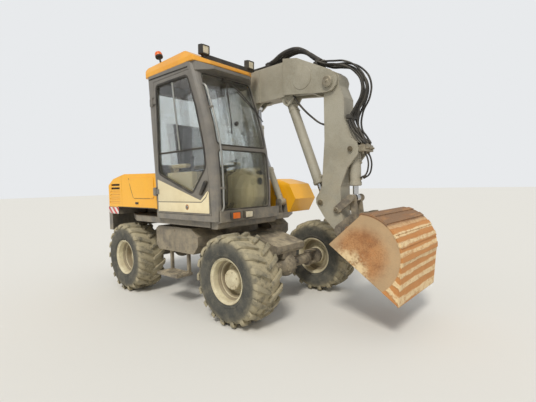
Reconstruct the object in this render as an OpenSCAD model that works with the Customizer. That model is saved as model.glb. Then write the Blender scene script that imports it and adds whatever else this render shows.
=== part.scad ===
/* [Wheels] */
// Distance between the two axles
wheelbase = 2400; // [2340:5:2460]
// Distance between the middle planes of the tyres on one axle
track = 1803; // [1790:1:1820]
// Outer diameter of a tyre over its lugs
tyre_d = 1080; // [1060:2:1084]
// Width of a tyre
tyre_w = 457; // [430:1:470]
// Height of a lug above the carcass
lug_h = 36; // [28:1:42]
// Number of lugs on each half of a tread
lug_n = 18; // [16:1:20]
// Diameter of the rim at the bead seat
rim_d = 496; // [480:1:510]
// Width of the rim between its flanges
rim_w = 356; // [340:1:370]
// Depth of the wheel disc behind the tyre's middle plane
disc_in = 30; // [10:1:50]
// Radius of the front hub's planetary drum
hub_r = 125; // [110:1:135]

/* [Axles] */
// Radius of an axle tube
axle_r = 75; // [65:1:85]
// Radius of the differential housing
diff_r = 165; // [150:1:170]
// Distance of a king pin from the machine's middle plane
kingpin_y = 545; // [535:1:555]
// Radius of a king pin
kingpin_r = 24; // [20:1:28]
// Length of a knuckle's steering arm
steer_arm = 150; // [130:1:160]

/* [Chassis] */
// Half width of the chassis beam
frame_hw = 300; // [260:5:320]
// Height of the chassis beam's underside
frame_z0 = 720; // [712:1:730]
// Height of the chassis beam's top
frame_z1 = 950; // [930:1:960]
// Reach of the beam's nose in front of the mid plane
nose_x = 1320; // [1260:5:1330]
// Radius of the turntable ring
ring_r = 520; // [480:5:560]
// Height of the turntable joint
ring_z = 1110; // [1105:1:1115]
// Height of the tread of the step
step_z = 420; // [380:5:460]

/* [Upper structure] */
// Height of the platform's underside
deck_z0 = 1135; // [1130:1:1145]
// Height of the platform's top
deck_z1 = 1215; // [1200:1:1225]
// Radius of the rounded tail about the slew axis
tail_r = 2100; // [2085:1:2130]
// Height of the lower edge of the skirt behind the rear tyres
skirt_z = 940; // [935:5:1000]
// Half width of the hood
hood_hw = 1030; // [1000:5:1045]
// Height of the hood's lower edge
hood_z0 = 1335; // [1325:1:1345]
// Height of the hood's top at the front
hood_z1 = 1870; // [1840:1:1890]
// Thickness of the hood's moulded skin
hood_t = 24; // [18:1:30]

/* [Cab] */
// Right side of the cab
cab_right = -1085; // [-1095:1:-1075]
// Left side of the cab at the floor
cab_left = -28; // [-50:1:-26]
// Inward lean of the cab's left side at the roof
cab_lean = 10; // [5:1:20]
// Height of the cab's side structure
cab_z1 = 3195; // [3185:5:3205]
// Reach of the cab's bulging front at its fullest
cab_front = 1040; // [1020:5:1045]
// Backward rake of the windscreen from there up to the roof
cab_rake = 370; // [350:5:385]
// Rear of the cab at the floor
cab_rear = -262; // [-264:1:-250]
// Backward lean of the cab's rear
cab_rear_lean = 126; // [110:1:135]
// Thickness of the cab's walls and of the door
cab_wall = 52; // [46:1:58]
// Radius of the cab's upright corners
cab_round = 90; // [70:5:100]
// Thickness of the glass
glass_t = 6; // [5:1:8]
// Running gap round the door
door_gap = 5; // [4:1:7]

/* [Roof] */
// Height of the roof cap at its rear
roof_rear = 140; // [125:5:150]
// Height of the roof cap's peak over the windscreen
roof_peak = 172; // [165:1:185]
// Height of the roof cap's front lip
roof_brow = 44; // [40:1:55]

/* [Boom] */
// Middle plane of the boom, left of the machine's middle
boom_y = 250; // [245:1:260]
// Forward place of the boom's foot pin
foot_x = 400; // [390:1:410]
// Height of the boom's foot pin
foot_z = 1500; // [1490:1:1510]
// Forward place of the elbow pin
elbow_x = 100; // [90:1:110]
// Height of the elbow pin
elbow_z = 3050; // [3040:1:3060]
// Forward place of the arm's pin in the boom head
head_x = 1880; // [1870:1:1890]
// Height of the arm's pin in the boom head
head_z = 2920; // [2910:1:2930]
// Forward place of the arm's tip pin
tip_x = 2000; // [1995:1:2010]
// Height of the arm's tip pin
tip_z = 1050; // [1040:1:1060]
// Radius of the large pins
pin_r = 40; // [36:1:44]
// Radius of the pins of the cylinders and links
pin_s = 28; // [24:1:32]
// Running clearance of a pin in its bore
pin_fit = 0.05; // [0.02:0.01:0.1]
// Side gap between pieces that turn on one pin
cheek_gap = 5; // [5:0.5:7]
// Half width of the arm and of the boom's box
arm_hw = 120; // [114:1:124]

/* [Bucket] */
// Width of the bucket
bucket_w = 1150; // [1100:5:1160]
// Radius of the bucket's rounded shell
shell_r = 450; // [440:1:460]
// Thickness of the bucket's shell
shell_t = 16; // [12:1:20]
// Thickness of the bucket's end plates
end_t = 25; // [20:1:30]

/* [Hidden] */
$fn = 48;

seat_gap = 0.3;
cab_z0 = deck_z1 + seat_gap;
eye_x = [-560, 560];
eye_z = frame_z0 - 25;
eye_r = 22;
eye_t = 25;
hood_x = -365;
hood_pin = [hood_x + 33, hood_z1 - 15];
hood_hinge_y = [-600, 600];
front_x = wheelbase / 2;
axle_z = tyre_d / 2;
tyre_y = track / 2;
rim_t = 9;
flange_h = 24;
flange_lean = 14;

// the frame's origin is under the middle of the outer box
bucket_c = [2500, 870];
strip_h = 10;
front_reach = bucket_c[0] + shell_r + strip_h;
origin_x = (front_reach - tail_r) / 2;

foot = [foot_x, foot_z];
elbow = [elbow_x, elbow_z];
head = [head_x, head_z];
tip = [tip_x, tip_z];
lift_y = 190;
lift_base = [800, 1380];
lift_eye = [400, 2350];
jib_base = [620, 1640];
jib_eye = [560, 2830];
arm_base = [1180, 2800];
arm_eye = [1720, 1400];
bucket_base = [2160, 2060];
rocker_pin = [1968, 1312];
link_pin = [2160, 1457];
coupler_pin = [2190, 1197];

function unit(v) = v / norm(v);
function turned(a, v) = [v[0] * cos(a) - v[1] * sin(a), v[0] * sin(a) + v[1] * cos(a)];
function bearing(p, q) = atan2(q[1] - p[1], q[0] - p[0]);

// a corner list, counter-clockwise, with each edge moved inwards by g
function inset(p, g) = [for (i = [0:len(p) - 1])
    let (n = len(p), a = p[(i + n - 1) % n], b = p[i], c = p[(i + 1) % n],
        u = unit(b - a), v = unit(c - b), k = u[0] * v[1] - u[1] * v[0],
        m = [-u[1], u[0]], w = [-v[1], v[0]])
    abs(k) < 0.001 ? b + g * m : b + g / k * (v - u)];

// the same list with its corners rounded to radius r by short chords
function rounded(p, r, steps = 4) = [for (i = [0:len(p) - 1])
    let (n = len(p), a = p[(i + n - 1) % n], b = p[i], c = p[(i + 1) % n],
        u = unit(a - b), v = unit(c - b), half = acos(u * v) / 2,
        back = r / tan(half), mid = b + unit(u + v) * r / sin(half),
        s = b + u * back, e = b + v * back,
        a0 = atan2(s[1] - mid[1], s[0] - mid[0]), a1 = atan2(e[1] - mid[1], e[0] - mid[0]),
        sweep = (a1 - a0 + 540) % 360 - 180)
    for (k = [0:steps]) mid + r * [cos(a0 + sweep * k / steps), sin(a0 + sweep * k / steps)]];

// moves a piece from the mid-wheelbase frame to the part's own frame
module placed() {
    translate([-origin_x, 0, 0]) children();
}

// a side view outline given thickness from y0 to y1
module side(y0, y1) {
    translate([0, y1, 0]) rotate([90, 0, 0]) linear_extrude(y1 - y0) children();
}

// a front view outline given length from x0 to x1
module front(x0, x1) {
    translate([x0, 0, 0]) rotate([90, 0, 90]) linear_extrude(x1 - x0) children();
}

// a round bar across the machine at point p of the side view
module bar(p, r, y0, y1) {
    translate([p[0], y1, p[1]]) rotate([90, 0, 0]) cylinder(r = r, h = y1 - y0);
}

// a round bar along the machine's side view from p to q
module rod(p, q, y, r) {
    translate([p[0], y, p[1]]) rotate([0, 90 - bearing(p, q), 0]) cylinder(r = r, h = norm(q - p));
}

module box(x0, x1, y0, y1, z0, z1) {
    translate([x0, y0, z0]) cube([x1 - x0, y1 - y0, z1 - z0]);
}

// one lug: a bar from the tread's middle out over the shoulder
module lug(s) {
    // axial place of the foot, axial place of the top, angle, width, inner radius, drop of the outer face
    ends = [[6, 6, 0, 50, 490, 0], [tyre_w / 2 - 20, tyre_w / 2, 13, 64, 440, 22]];
    corners = [for (e = ends, w = [-0.5, 0.5], top = [0, 1])
        let (p = turned(e[2], [top > 0 ? tyre_d / 2 - e[5] : e[4], w * e[3]])) [p[0], p[1], s * e[top]]];
    sides = [[0, 1, 3, 2], [4, 6, 7, 5], [0, 4, 5, 1], [2, 3, 7, 6], [1, 5, 7, 3], [0, 2, 6, 4]];
    polyhedron(corners, s > 0 ? sides : [for (f = sides) [f[3], f[2], f[1], f[0]]]);
}

carcass_n = 24;

// carcass and lugs
module tyre() {
    hw = tyre_w / 2 - 4;
    bead = rim_d / 2 + seat_gap;
    heel = rim_d / 2 + flange_h + seat_gap;
    half = [[tyre_d / 2 - lug_h, hw - 30], [tyre_d / 2 - lug_h - 104, hw],
        [heel, rim_w / 2 + flange_lean - seat_gap],
        [bead, rim_w / 2 - seat_gap]];
    outline = concat(half, [for (i = [len(half) - 1:-1:0]) [half[i][0], -half[i][1]]]);
    color("dimgray") rotate([90, 0, 0]) {
        rotate_extrude($fn = carcass_n) polygon(outline);
        for (s = [-1, 1], i = [0:lug_n - 1]) rotate([0, 0, (i + (s > 0 ? 0.5 : 0)) * 360 / lug_n - 90])
            lug(s);
    }
}

// outer side of the wheel along +Z before it is turned
module wheel(hub_len) {
    seat = rim_d / 2;
    hw = rim_w / 2;
    well = seat - 34;
    lip_r = seat + flange_h;
    disc = -disc_in;
    color("wheat") rotate([-90, 0, 0]) {
        rotate_extrude() polygon([[seat, -hw], [lip_r, -hw - flange_lean], [lip_r, -hw - flange_lean - 10],
            [seat, -hw - 12], [seat - rim_t, -hw], [seat - rim_t, -90], [well - rim_t, -60],
            [well - rim_t, disc - 16],
            [hub_r - 10, disc - 16], [hub_r - 10, disc], [well - rim_t, disc], [well - rim_t, 50],
            [seat - rim_t, 80],
            [seat - rim_t, hw], [seat, hw + 12], [lip_r, hw + flange_lean + 10], [lip_r, hw + flange_lean],
            [seat, hw], [seat, 82], [well, 52], [well, -62], [seat, -92]]);
        difference() {
            union() {
                translate([0, 0, disc - 95]) cylinder(r = hub_r, h = 95 + hub_len * 0.55);
                translate([0, 0, disc + hub_len * 0.55]) cylinder(r = hub_r * 0.8, h = hub_len * 0.45);
            }
            translate([0, 0, disc - 96]) cylinder(r = 60 + pin_fit, h = 81);
        }
    }
}

module wheel_at(x, s) {
    placed() translate([x, s * tyre_y, axle_z]) rotate([0, 0, s > 0 ? 0 : 180]) children();
}

hub_back = tyre_y - disc_in - 95;

module front_axle() {
    eye_r = 58;
    color("dimgray") placed() translate([front_x, 0, axle_z]) {
        difference() {
            union() {
                rotate([90, 0, 0]) cylinder(r = axle_r, h = 2 * kingpin_y - 60, center = true);
                sphere(r = diff_r);
                for (s = [-1, 1]) translate([0, s * kingpin_y, -75]) cylinder(r = eye_r, h = 150);
                translate([-90, -150, 100]) cube([180, 300, frame_z0 - axle_z - 100 - seat_gap]);
            }
            for (s = [-1, 1]) translate([0, s * kingpin_y, -76]) cylinder(r = kingpin_r + pin_fit, h = 152);
        }
    }
}

module rear_axle() {
    color("dimgray") placed() translate([-front_x, 0, axle_z]) {
        rotate([90, 0, 0]) cylinder(r = axle_r, h = 2 * (hub_back - 60), center = true);
        sphere(r = diff_r);
        for (s = [-1, 1]) {
            translate([0, s * (hub_back - 30 - seat_gap), 0]) rotate([90, 0, 0])
                cylinder(r = 110, h = 60, center = true);
            translate([0, s * (hub_back + 30), 0]) rotate([90, 0, 0])
                cylinder(r = 60, h = 90, center = true);
        }
        translate([-90, -240, 40]) cube([180, 480, frame_z0 - axle_z - 40 - seat_gap]);
    }
}

module knuckle(s) {
    reach = hub_back - kingpin_y;
    color("dimgray") placed() translate([front_x, s * kingpin_y, axle_z]) {
        cylinder(r = kingpin_r, h = 220, center = true);
        for (z = [-105, 80]) {
            translate([0, 0, z]) cylinder(r = 52, h = 25);
            translate([-45, s > 0 ? 0 : -reach + 25, z]) cube([90, reach - 25, 25]);
        }
        translate([0, s * (reach - 20 - seat_gap), 0]) rotate([90, 0, 0])
            cylinder(r = 112, h = 40, center = true);
        translate([0, s * (reach + 30), 0]) rotate([90, 0, 0]) cylinder(r = 60, h = 90, center = true);
        translate([-steer_arm, -25, -105]) cube([steer_arm, 50, 25]);
        translate([-steer_arm, 0, -105]) cylinder(r = 32, h = 25);
    }
}

module tie_rod() {
    color("gray") placed() translate([front_x - steer_arm, 0, axle_z - 110 - 14]) {
        rotate([90, 0, 0]) cylinder(r = 13, h = 2 * kingpin_y, center = true);
        for (s = [-1, 1]) translate([0, s * kingpin_y, -14]) {
            cylinder(r = 26, h = 28);
            cylinder(r = 14, h = 33 - seat_gap);
        }
    }
}

box_y = 960;
box_z = 740;
box_step = frame_z1 - 10 - seat_gap;

module chassis() {
    color("rosybrown") placed() {
        difference() {
            union() {
                side(-frame_hw, frame_hw) polygon([[-1420, frame_z0 + 40], [-1420, frame_z1 - 60],
                    [-1200, frame_z1],
                    [900, frame_z1], [nose_x, frame_z1 - 120], [nose_x, frame_z0 + 40],
                    [nose_x - 25, frame_z0],
                    [-1300, frame_z0]]);
                for (x = eye_x, s = [-1, 1]) side(s > 0 ? frame_hw - eye_t : -frame_hw,
                    s > 0 ? frame_hw : eye_t - frame_hw)
                    polygon([[x - 45, frame_z0 + 5], [x - 45, eye_z], [x - 20, eye_z - 42],
                    [x + 20, eye_z - 42],
                        [x + 45, eye_z], [x + 45, frame_z0 + 5]]);
            }
            for (x = eye_x, s = [-1, 1]) bar([x, eye_z], eye_r,
                s > 0 ? frame_hw - eye_t - 1 : -frame_hw - 1,
                s > 0 ? frame_hw + 1 : eye_t - frame_hw + 1);
        }
        translate([0, 0, frame_z1 - 10]) cylinder(r = ring_r, h = ring_z - frame_z1 + 10);
        for (s = [0, 1]) mirror([0, s, 0]) {
            // tool and fuel boxes between the wheels, stepped to pass under the ring
            side(frame_hw + seat_gap, ring_r + 10) polygon([[-470, 800], [-470, box_step],
                [520, box_step], [520, 860],
                [420, box_z], [-400, box_z]]);
            side(ring_r + seat_gap, box_y) polygon([[-470, 800], [-470, 1040], [-400, 1085], [380, 1085],
                [520, 980], [520, 860], [420, box_z], [-400, box_z]]);
            // step hung on two straps
            box(-240, 240, box_y - 110, box_y + 150, step_z, step_z + 35);
            for (x = [-220, 180]) box(x, x + 40, box_y - 100, box_y - 60, step_z + 30, box_z - seat_gap);
        }
        // towing clevis at the rear
        for (z = [frame_z0 + 60, frame_z0 + 140]) difference() {
            box(-1540, -1415, -60, 60, z, z + 30);
            translate([-1485, 0, z - 1]) cylinder(r = 20, h = 32);
        }
    }
}

beam_x0 = 880;
beam_x1 = 1062;
beam_y1 = 60;
beam_z0 = 1120;
beam_z1 = deck_z1 - 1;
beam_z2 = 1345;

module platform() {
    bracket = arm_hw + cheek_gap;
    color("dimgray") placed() difference() {
        union() {
            translate([0, 0, ring_z + seat_gap]) cylinder(r = ring_r - 30, h = deck_z0 - ring_z);
            translate([0, 0, deck_z0]) linear_extrude(deck_z1 - deck_z0) polygon([[870, -hood_hw],
                [900, 480],
                [560, hood_hw + 10], [-900, hood_hw + 10], [-1500, 760], [-1700, 480], [-1700, -480],
                [-1500, -760],
                [-900, -hood_hw]]);
            // beam under the cab's front, with pads for the road lamps
            side(-hood_hw + 10, beam_y1) polygon([[beam_x0, beam_z0], [beam_x0 + 105, beam_z0],
                [beam_x0 + 120, beam_z0 + 15],
                [beam_x0 + 120, deck_z1 - 25], [beam_x1, deck_z1 - 10], [beam_x1, beam_z2],
                [cab_front + 3, beam_z2],
                [cab_front + 3, beam_z1], [beam_x0, beam_z1]]);
            for (s = [-1, 1]) {
                // boom foot bracket
                side(boom_y + (s > 0 ? bracket : -bracket - 30), boom_y + (s > 0 ? bracket + 30 : -bracket))
                    polygon([[60, deck_z1 - 5], [foot[0] - 90, foot[1] + 20], [foot[0] - 40, foot[1] + 85],
                        [foot[0] + 40, foot[1] + 85], [foot[0] + 90, foot[1] + 20], [660, deck_z1 - 5]]);
            }
            bar(foot, pin_r, boom_y - bracket - 45, boom_y + bracket + 45);
            // lift cylinder base ears
            for (s = [-1, 1], k = [-71, 55]) side(boom_y + s * lift_y + k, boom_y + s * lift_y + k + 16)
                polygon([[lift_base[0] - 70, deck_z1 - 5], [lift_base[0] - 42, lift_base[1] + 40],
                    [lift_base[0] + 42, lift_base[1] + 40], [lift_base[0] + 70, deck_z1 - 5]]);
            for (s = [-1, 1]) bar(lift_base, pin_s, boom_y + s * lift_y - 76, boom_y + s * lift_y + 76);
            // bulkhead in front of the engine bay
            box(hood_x, hood_x + 28, -hood_hw + 30, hood_hw - 30, deck_z1 - 5, hood_z1 - 70);
            // hood hinge ears and pins
            for (y = hood_hinge_y) {
                for (k = [-50, 30]) side(y + k, y + k + 20) polygon([[hood_x, hood_z1 - 110],
                    [hood_x + 28, hood_z1 - 110], [hood_x + 55, hood_z1 - 20], [hood_x + 45, hood_z1 + 5],
                    [hood_x + 20, hood_z1 + 5]]);
                bar(hood_pin, 10, y - 50, y + 50);
            }
        }
    }
}

module counterweight() {
    arch_r = tail_r - 105;
    color("dimgray") placed() {
        // block under the hood's rear
        intersection() {
            difference() {
                translate([0, 0, deck_z1 + seat_gap]) cylinder(r = tail_r,
                    h = hood_z0 - deck_z1 - 2 * seat_gap, $fn = 96);
                translate([0, 0, deck_z1]) box(-1500, 3000, -3000, 3000, -10, 400);
            }
            box(-tail_r - 10, -1400, -hood_hw, hood_hw, 900, 1500);
        }
        // skirts behind the rear tyres
        intersection() {
            difference() {
                translate([0, 0, skirt_z]) cylinder(r = tail_r, h = deck_z1 + 10 - skirt_z, $fn = 96);
                translate([0, 0, skirt_z - 1]) cylinder(r = arch_r, h = 400, $fn = 96);
            }
            box(-tail_r - 10, -1400, -hood_hw, hood_hw, 900, 1500);
        }
    }
}

panel_h = 10;
louvre_n = 6;
louvre_h = 32;
louvre_step = 58;
seam_x = -1356;

module hood() {
    x = hood_x - seat_gap;
    roof = [[-2200, hood_z0], [x, hood_z0], [x, hood_z1 - 20], [-1250, hood_z1], [-1640, hood_z1 - 70],
        [-1900, hood_z1 - 220], [-2200, hood_z1 - 330]];
    inner = [[-2200, hood_z0 - 50], [x + 50, hood_z0 - 50], [x + 50, hood_z1 - 20 - hood_t],
        [-1240, hood_z1 - hood_t], [-1630, hood_z1 - 70 - hood_t], [-1885, hood_z1 - 220 - hood_t],
        [-2200, hood_z1 - 330 - hood_t]];
    color("gold") placed() difference() {
        union() {
            intersection() {
                side(-hood_hw, hood_hw) polygon(roof);
                translate([0, 0, hood_z0 - 10]) cylinder(r = tail_r - 12, h = 700, $fn = 96);
            }
            for (s = [-1, 1]) {
                // raised panel on each side
                side(s > 0 ? hood_hw - 1 : -hood_hw - panel_h, s > 0 ? hood_hw + panel_h : -hood_hw + 1)
                    polygon(rounded([[hood_x - 10, hood_z0 + 150], [hood_x - 10, hood_z1 - 70],
                    [-1110, hood_z1 - 70],
                        [-960, hood_z0 + 150]], 40));
                // side skin, which reaches forward past the bulkhead
                side(s > 0 ? hood_hw - hood_t : -hood_hw, s > 0 ? hood_hw : -hood_hw + hood_t)
                    polygon([[x - 5, hood_z0], [hood_x + 53, hood_z0], [hood_x + 53, hood_z1 - 50],
                    [hood_x + 40, hood_z1 - 25],
                        [x - 5, hood_z1 - 21]]);
            }
        }
        intersection() {
            side(-hood_hw + hood_t, hood_hw - hood_t) polygon(inner);
            translate([0, 0, hood_z0 - 60]) cylinder(r = tail_r - 12 - hood_t, h = 700, $fn = 96);
        }
        // louvres at the rear corners, seam in front of them, grille in the tail
        for (s = [-1, 1], i = [0:louvre_n - 1]) translate([0, s * hood_hw, hood_z0 + 60 + i * louvre_step])
            side(-60, 60) polygon([[-1790 + 12 * i, 0], [-1420, 0], [-1420, louvre_h],
            [-1780 + 12 * i, louvre_h]]);
        for (s = [-1, 1]) box(seam_x, seam_x + 6, s > 0 ? hood_hw - 5 : -hood_hw - 5,
            s > 0 ? hood_hw + 5 : -hood_hw + 5,
            hood_z0 - 1, hood_z1 + 1);
        for (i = [0:2]) translate([0, 0, hood_z0 + 50 + i * louvre_step])
            box(-tail_r - 100, -tail_r + 200, -450, 450, 0, louvre_h);
    }
    // hinge arms over the bulkhead
    color("gold") placed() for (y = hood_hinge_y) difference() {
        union() {
            bar(hood_pin, 18, y - 25, y + 25);
            side(y - 25, y + 25) polygon([[hood_x - 40, hood_z1 - 32], hood_pin + [0, -8], hood_pin + [0,
                12],
                [hood_x - 40, hood_z1 - 18]]);
        }
        bar(hood_pin, 10 + pin_fit, y - 60, y + 60);
    }
}

module engine() {
    color("darkslategray") placed() box(-1450, -450, -520, 420, deck_z1 + seat_gap, 1740);
}

module side_cover() {
    z = deck_z1 + seat_gap;
    color("gold") placed() intersection() {
        side(520, hood_hw + 20) polygon([[-180, z], [-180, 1735], [620, 1735], [900, 1650], [1020, 1420],
            [900, z]]);
        front(-200, 1100) polygon(rounded([[520, z - 200], [hood_hw + 20, z - 200], [hood_hw + 20, 1735],
            [520, 1735]], 130, 6));
    }
}

// the cab's front bulges: share of the rake by height
cab_bulge = [[cab_z0, 0.03], [1600, 0], [1850, 0.035], [2110, 0.11], [2400, 0.28], [2700, 0.54],
    [cab_z1, 1]];
cab_levels = [for (v = cab_bulge) v[0]];
slope = -cab_rear_lean / (cab_z1 - cab_z0);
function rear_at(z) = cab_rear + slope * (z - cab_z0);
function front_at(z) = cab_front - cab_rake * lookup(z, cab_bulge);
function left_at(z) = cab_left - cab_lean * (z - cab_z0) / (cab_z1 - cab_z0);
// width of the front pillar seen from the side
function pillar_at(z) = lookup(z, [[1300, 68], [1600, 95], [2050, 124], [2550, 124], [cab_z1 - 135, 98]]);
// a line up the cab's front from z0 to z1, moved back by g, plus the pillar's width times k
function front_line(z0, z1, g, k = 0) = [for (z = concat([z0],
    [for (v = cab_levels) if (v > z0 && v < z1) v], [z1]))
    [front_at(z) - g - k * pillar_at(z), z]];
function down(p) = [for (i = [len(p) - 1:-1:0]) p[i]];

hinge_z = [1585, 2830];
hinge_x = -215;
hinge_y = cab_right - 16;

module hinge_at(z) {
    placed() translate([hinge_x, hinge_y, z]) children();
}

door_z0 = 1288;
door_z1 = cab_z1 - 95;
window_z1 = cab_z1 - 155;
door_x0 = hinge_x + 20;
door_outline = concat([[door_x0, door_z0]], front_line(door_z0, door_z1, 0, 1), [[door_x0, door_z1]]);
door_window = rounded([[-135, 1833], [610, 1557], [885, 1872], [868, 2063], [815, 2309], [724, 2644],
    [575, window_z1 - 5], [-135, window_z1]], 40);
door_pad = 6;
door_panel = rounded([[-168, 1313], [942, 1313], [936, 1612], [775, 1482], [-168, 1762]], 12);
screen_low = [1355, 2085];
screen_high = [2145, window_z1 + 10];
rear_pane = [1960, window_z1 - 40];

// plan of the cab at height z, moved inwards by g, with rounded corners
function plan_at(z, g) = rounded([[rear_at(z) + g, cab_right + g], [front_at(z) - g, cab_right + g],
    [front_at(z) - g, left_at(z) - g], [rear_at(z) + g, left_at(z) - g]], cab_round - g / 2);

module cab_solid(g) {
    low = cab_z0 + g;
    high = cab_z1 - g - 1;
    hull() for (z = concat([low], [for (v = cab_levels) if (v > low && v < high) v], [high]))
        translate([0, 0, z]) linear_extrude(1) polygon(plan_at(z, g));
}

function pane_face(z0, z1, g) = inset(rounded([[cab_right + 100, z0], [left_at(z0) - 95, z0],
    [left_at(z1) - 95, z1],
    [cab_right + 100, z1]], 45), g);
function left_window(g) = inset(rounded(concat([[rear_at(1700) + 130, 1700]], front_line(1700,
    window_z1 - 10, 120),
    [[rear_at(window_z1) + 130, window_z1 - 10]]), 30), g);

// outlines of the visor over the windscreen: from above, and from the side
visor_x = front_at(cab_z1);
visor_plan = rounded([[visor_x - 170, cab_right + 15], [visor_x + 35, cab_right + 30],
    [visor_x + 175, cab_right + 205],
    [visor_x + 175, left_at(cab_z1) - 205], [visor_x + 35, left_at(cab_z1) - 30],
    [visor_x - 170, left_at(cab_z1) - 15]], 30);
visor_side = [[visor_x - 70, cab_z1 - 120], [visor_x + 65, cab_z1 - 117], [visor_x + 150, cab_z1 - 107],
    [visor_x + 178, cab_z1 - 99], [visor_x + 178, cab_z1 - 63], [visor_x + 20, cab_z1],
    [visor_x - 70, cab_z1]];

module cab_shell() {
    color("gray") placed() difference() {
        cab_solid(0);
        cab_solid(cab_wall);
        side(cab_right - 10, cab_right + cab_wall + 8) polygon(door_outline);
        for (z = [screen_low, screen_high]) front(300, 1300) polygon(pane_face(z[0], z[1], 0));
        front(-900, -100) polygon(pane_face(rear_pane[0], rear_pane[1], 0));
        side(cab_left - 200, cab_left + 50) polygon(left_window(0));
    }
    color("gray") placed() difference() {
        intersection() {
            side(cab_right, cab_left) polygon(visor_side);
            translate([0, 0, cab_z1 - 200]) linear_extrude(300) polygon(visor_plan);
        }
        cab_solid(1);
    }
    // hinge leaves and pins of the door
    color("gray") for (z = hinge_z) hinge_at(z) {
        for (k = [-60, 36]) {
            translate([0, 0, k]) cylinder(r = 15, h = 24);
            translate([-40, 2, k]) cube([40, 30, 24]);
        }
        translate([0, 0, -60]) cylinder(r = 8, h = 120);
    }
}

module cab_glass() {
    color("lightblue") placed() {
        for (z = [screen_low, screen_high]) intersection() {
            front(300, 1300) polygon(pane_face(z[0], z[1], seat_gap));
            side(-1200, 0) polygon(concat(front_line(1300, door_z1, 25),
                down(front_line(1300, door_z1, 25 + glass_t))));
        }
        intersection() {
            front(-900, -100) polygon(pane_face(rear_pane[0], rear_pane[1], seat_gap));
            side(-1200, 0) polygon([[rear_at(1000) + 25, 1000], [rear_at(1000) + 25 + glass_t, 1000],
                [rear_at(cab_z1) + 25 + glass_t, cab_z1], [rear_at(cab_z1) + 25, cab_z1]]);
        }
        intersection() {
            side(cab_left - 200, cab_left + 50) polygon(left_window(seat_gap));
            front(-900, 1200) polygon([[left_at(1000) - 25, 1000], [left_at(1000) - 25 + glass_t, 1000],
                [left_at(cab_z1) - 25 + glass_t, cab_z1], [left_at(cab_z1) - 25, cab_z1]]);
        }
    }
}

module door() {
    color("gray") placed() difference() {
        union() {
            side(cab_right, cab_right + cab_wall) polygon(inset(door_outline, door_gap));
            side(cab_right - door_pad, cab_right + 1) polygon(door_panel);
        }
        side(cab_right - 10, cab_right + cab_wall + 10) polygon(door_window);
    }
    // hinge barrels on the door's leaves
    color("gray") for (z = hinge_z) hinge_at(z) difference() {
        union() {
            translate([0, 0, -35]) cylinder(r = 15, h = 70);
            translate([0, 2, -35]) cube([80, 14 - seat_gap, 70]);
            translate([30, 2, -35]) cube([50, 20, 70]);
        }
        translate([0, 0, -36]) cylinder(r = 8 + pin_fit, h = 72);
    }
}

module door_glass() {
    color("lightblue") placed() side(cab_right + 20, cab_right + 20 + glass_t)
        polygon(inset(door_window, seat_gap));
}

// rear, peak and front lip of the roof cap, and its top line
roof_x = [rear_at(cab_z1) - 25, visor_x - 180, visor_x + 142];
roof_z = cab_z1 + seat_gap;
roof_lip = roof_z - 44;
function roof_top(x) = lookup(x, [[roof_x[0], roof_z + roof_rear], [roof_x[1], roof_z + roof_peak],
    [roof_x[2], roof_lip + roof_brow]]);

// moulded cap: nearly level, then it falls over the windscreen to a lip above the visor
module cab_roof() {
    left = left_at(cab_z1);
    gap = [0, seat_gap];
    color("orange") placed() intersection() {
        side(cab_right, left) polygon([[roof_x[0], roof_z], visor_side[5] + gap, [roof_x[2], roof_lip],
            [roof_x[2] + 4, roof_lip + 5],
            [roof_x[2], roof_top(roof_x[2])], [roof_x[1] + 25, roof_top(roof_x[1] + 25)],
            [roof_x[1] - 25, roof_top(roof_x[1] - 25)], [roof_x[0] + 45, roof_top(roof_x[0] + 45)],
            [roof_x[0] + 12, roof_z + roof_rear - 25]]);
        front(-1000, 1500) polygon([[cab_right, roof_z - 95], [left, roof_z - 95], [left, roof_z + 60],
            [left - 18, roof_z + 105],
            [left - 90, roof_z + 260], [cab_right + 90, roof_z + 260], [cab_right + 18, roof_z + 105],
            [cab_right, roof_z + 60]]);
        translate([0, 0, roof_z - 95]) linear_extrude(400) polygon(rounded([[roof_x[0] - 5, cab_right],
            [visor_x + 20, cab_right],
            [roof_x[2] + 2, cab_right + 185], [roof_x[2] + 2, left - 185], [visor_x + 20, left],
            [roof_x[0] - 5, left]], 45));
    }
}

seat_c = [230, (cab_right + cab_left) / 2 - 35];

module seat() {
    color("dimgray") placed() translate([seat_c[0], seat_c[1], 0]) {
        translate([-230, -240, 1770 + seat_gap]) cube([470, 480, 110]);
        side(-230, 230) polygon([[-240, 1860], [-125, 1860], [-230, 2560], [-320, 2560]]);
    }
}

module seat_base() {
    color("black") placed() translate([seat_c[0], seat_c[1], 0]) {
        translate([-190, -180, cab_z0 + cab_wall + seat_gap]) cube([380, 360, 496]);
    }
}

module consoles() {
    color("tan") placed() {
        z = cab_z0 + cab_wall + seat_gap;
        box(-30, 520, cab_right + cab_wall + 20, seat_c[1] - 260, z, 1840);
        side(seat_c[1] + 275, left_at(1860) - cab_wall - 15) polygon([[-30, z], [850, z], [940, 1480],
            [925, 1780],
            [760, 1880], [-30, 1840]]);
        // it widens towards the floor in front
        intersection() {
            box(700, 925, seat_c[1] + 150, seat_c[1] + 300, z, 1800);
            front(600, 1000) polygon([[seat_c[1] + 150, z], [seat_c[1] + 300, z], [seat_c[1] + 300, 1790],
                [seat_c[1] + 270, 1790], [seat_c[1] + 150, 1600]]);
        }
    }
}

module steering_column() {
    color("black") placed() {
        translate([740, seat_c[1] - 60, cab_z0 + cab_wall + seat_gap]) {
            cylinder(r = 60, h = 40);
            cylinder(r = 35, h = 560);
        }
        translate([730, seat_c[1] - 60, 1830]) rotate([0, -25, 0]) {
            rotate_extrude() translate([165, 0]) circle(r = 15, $fn = 16);
            for (a = [90, 210, 330]) rotate([0, 90, a]) cylinder(r = 10, h = 165);
            cylinder(r = 40, h = 40, center = true);
        }
    }
}

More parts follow.
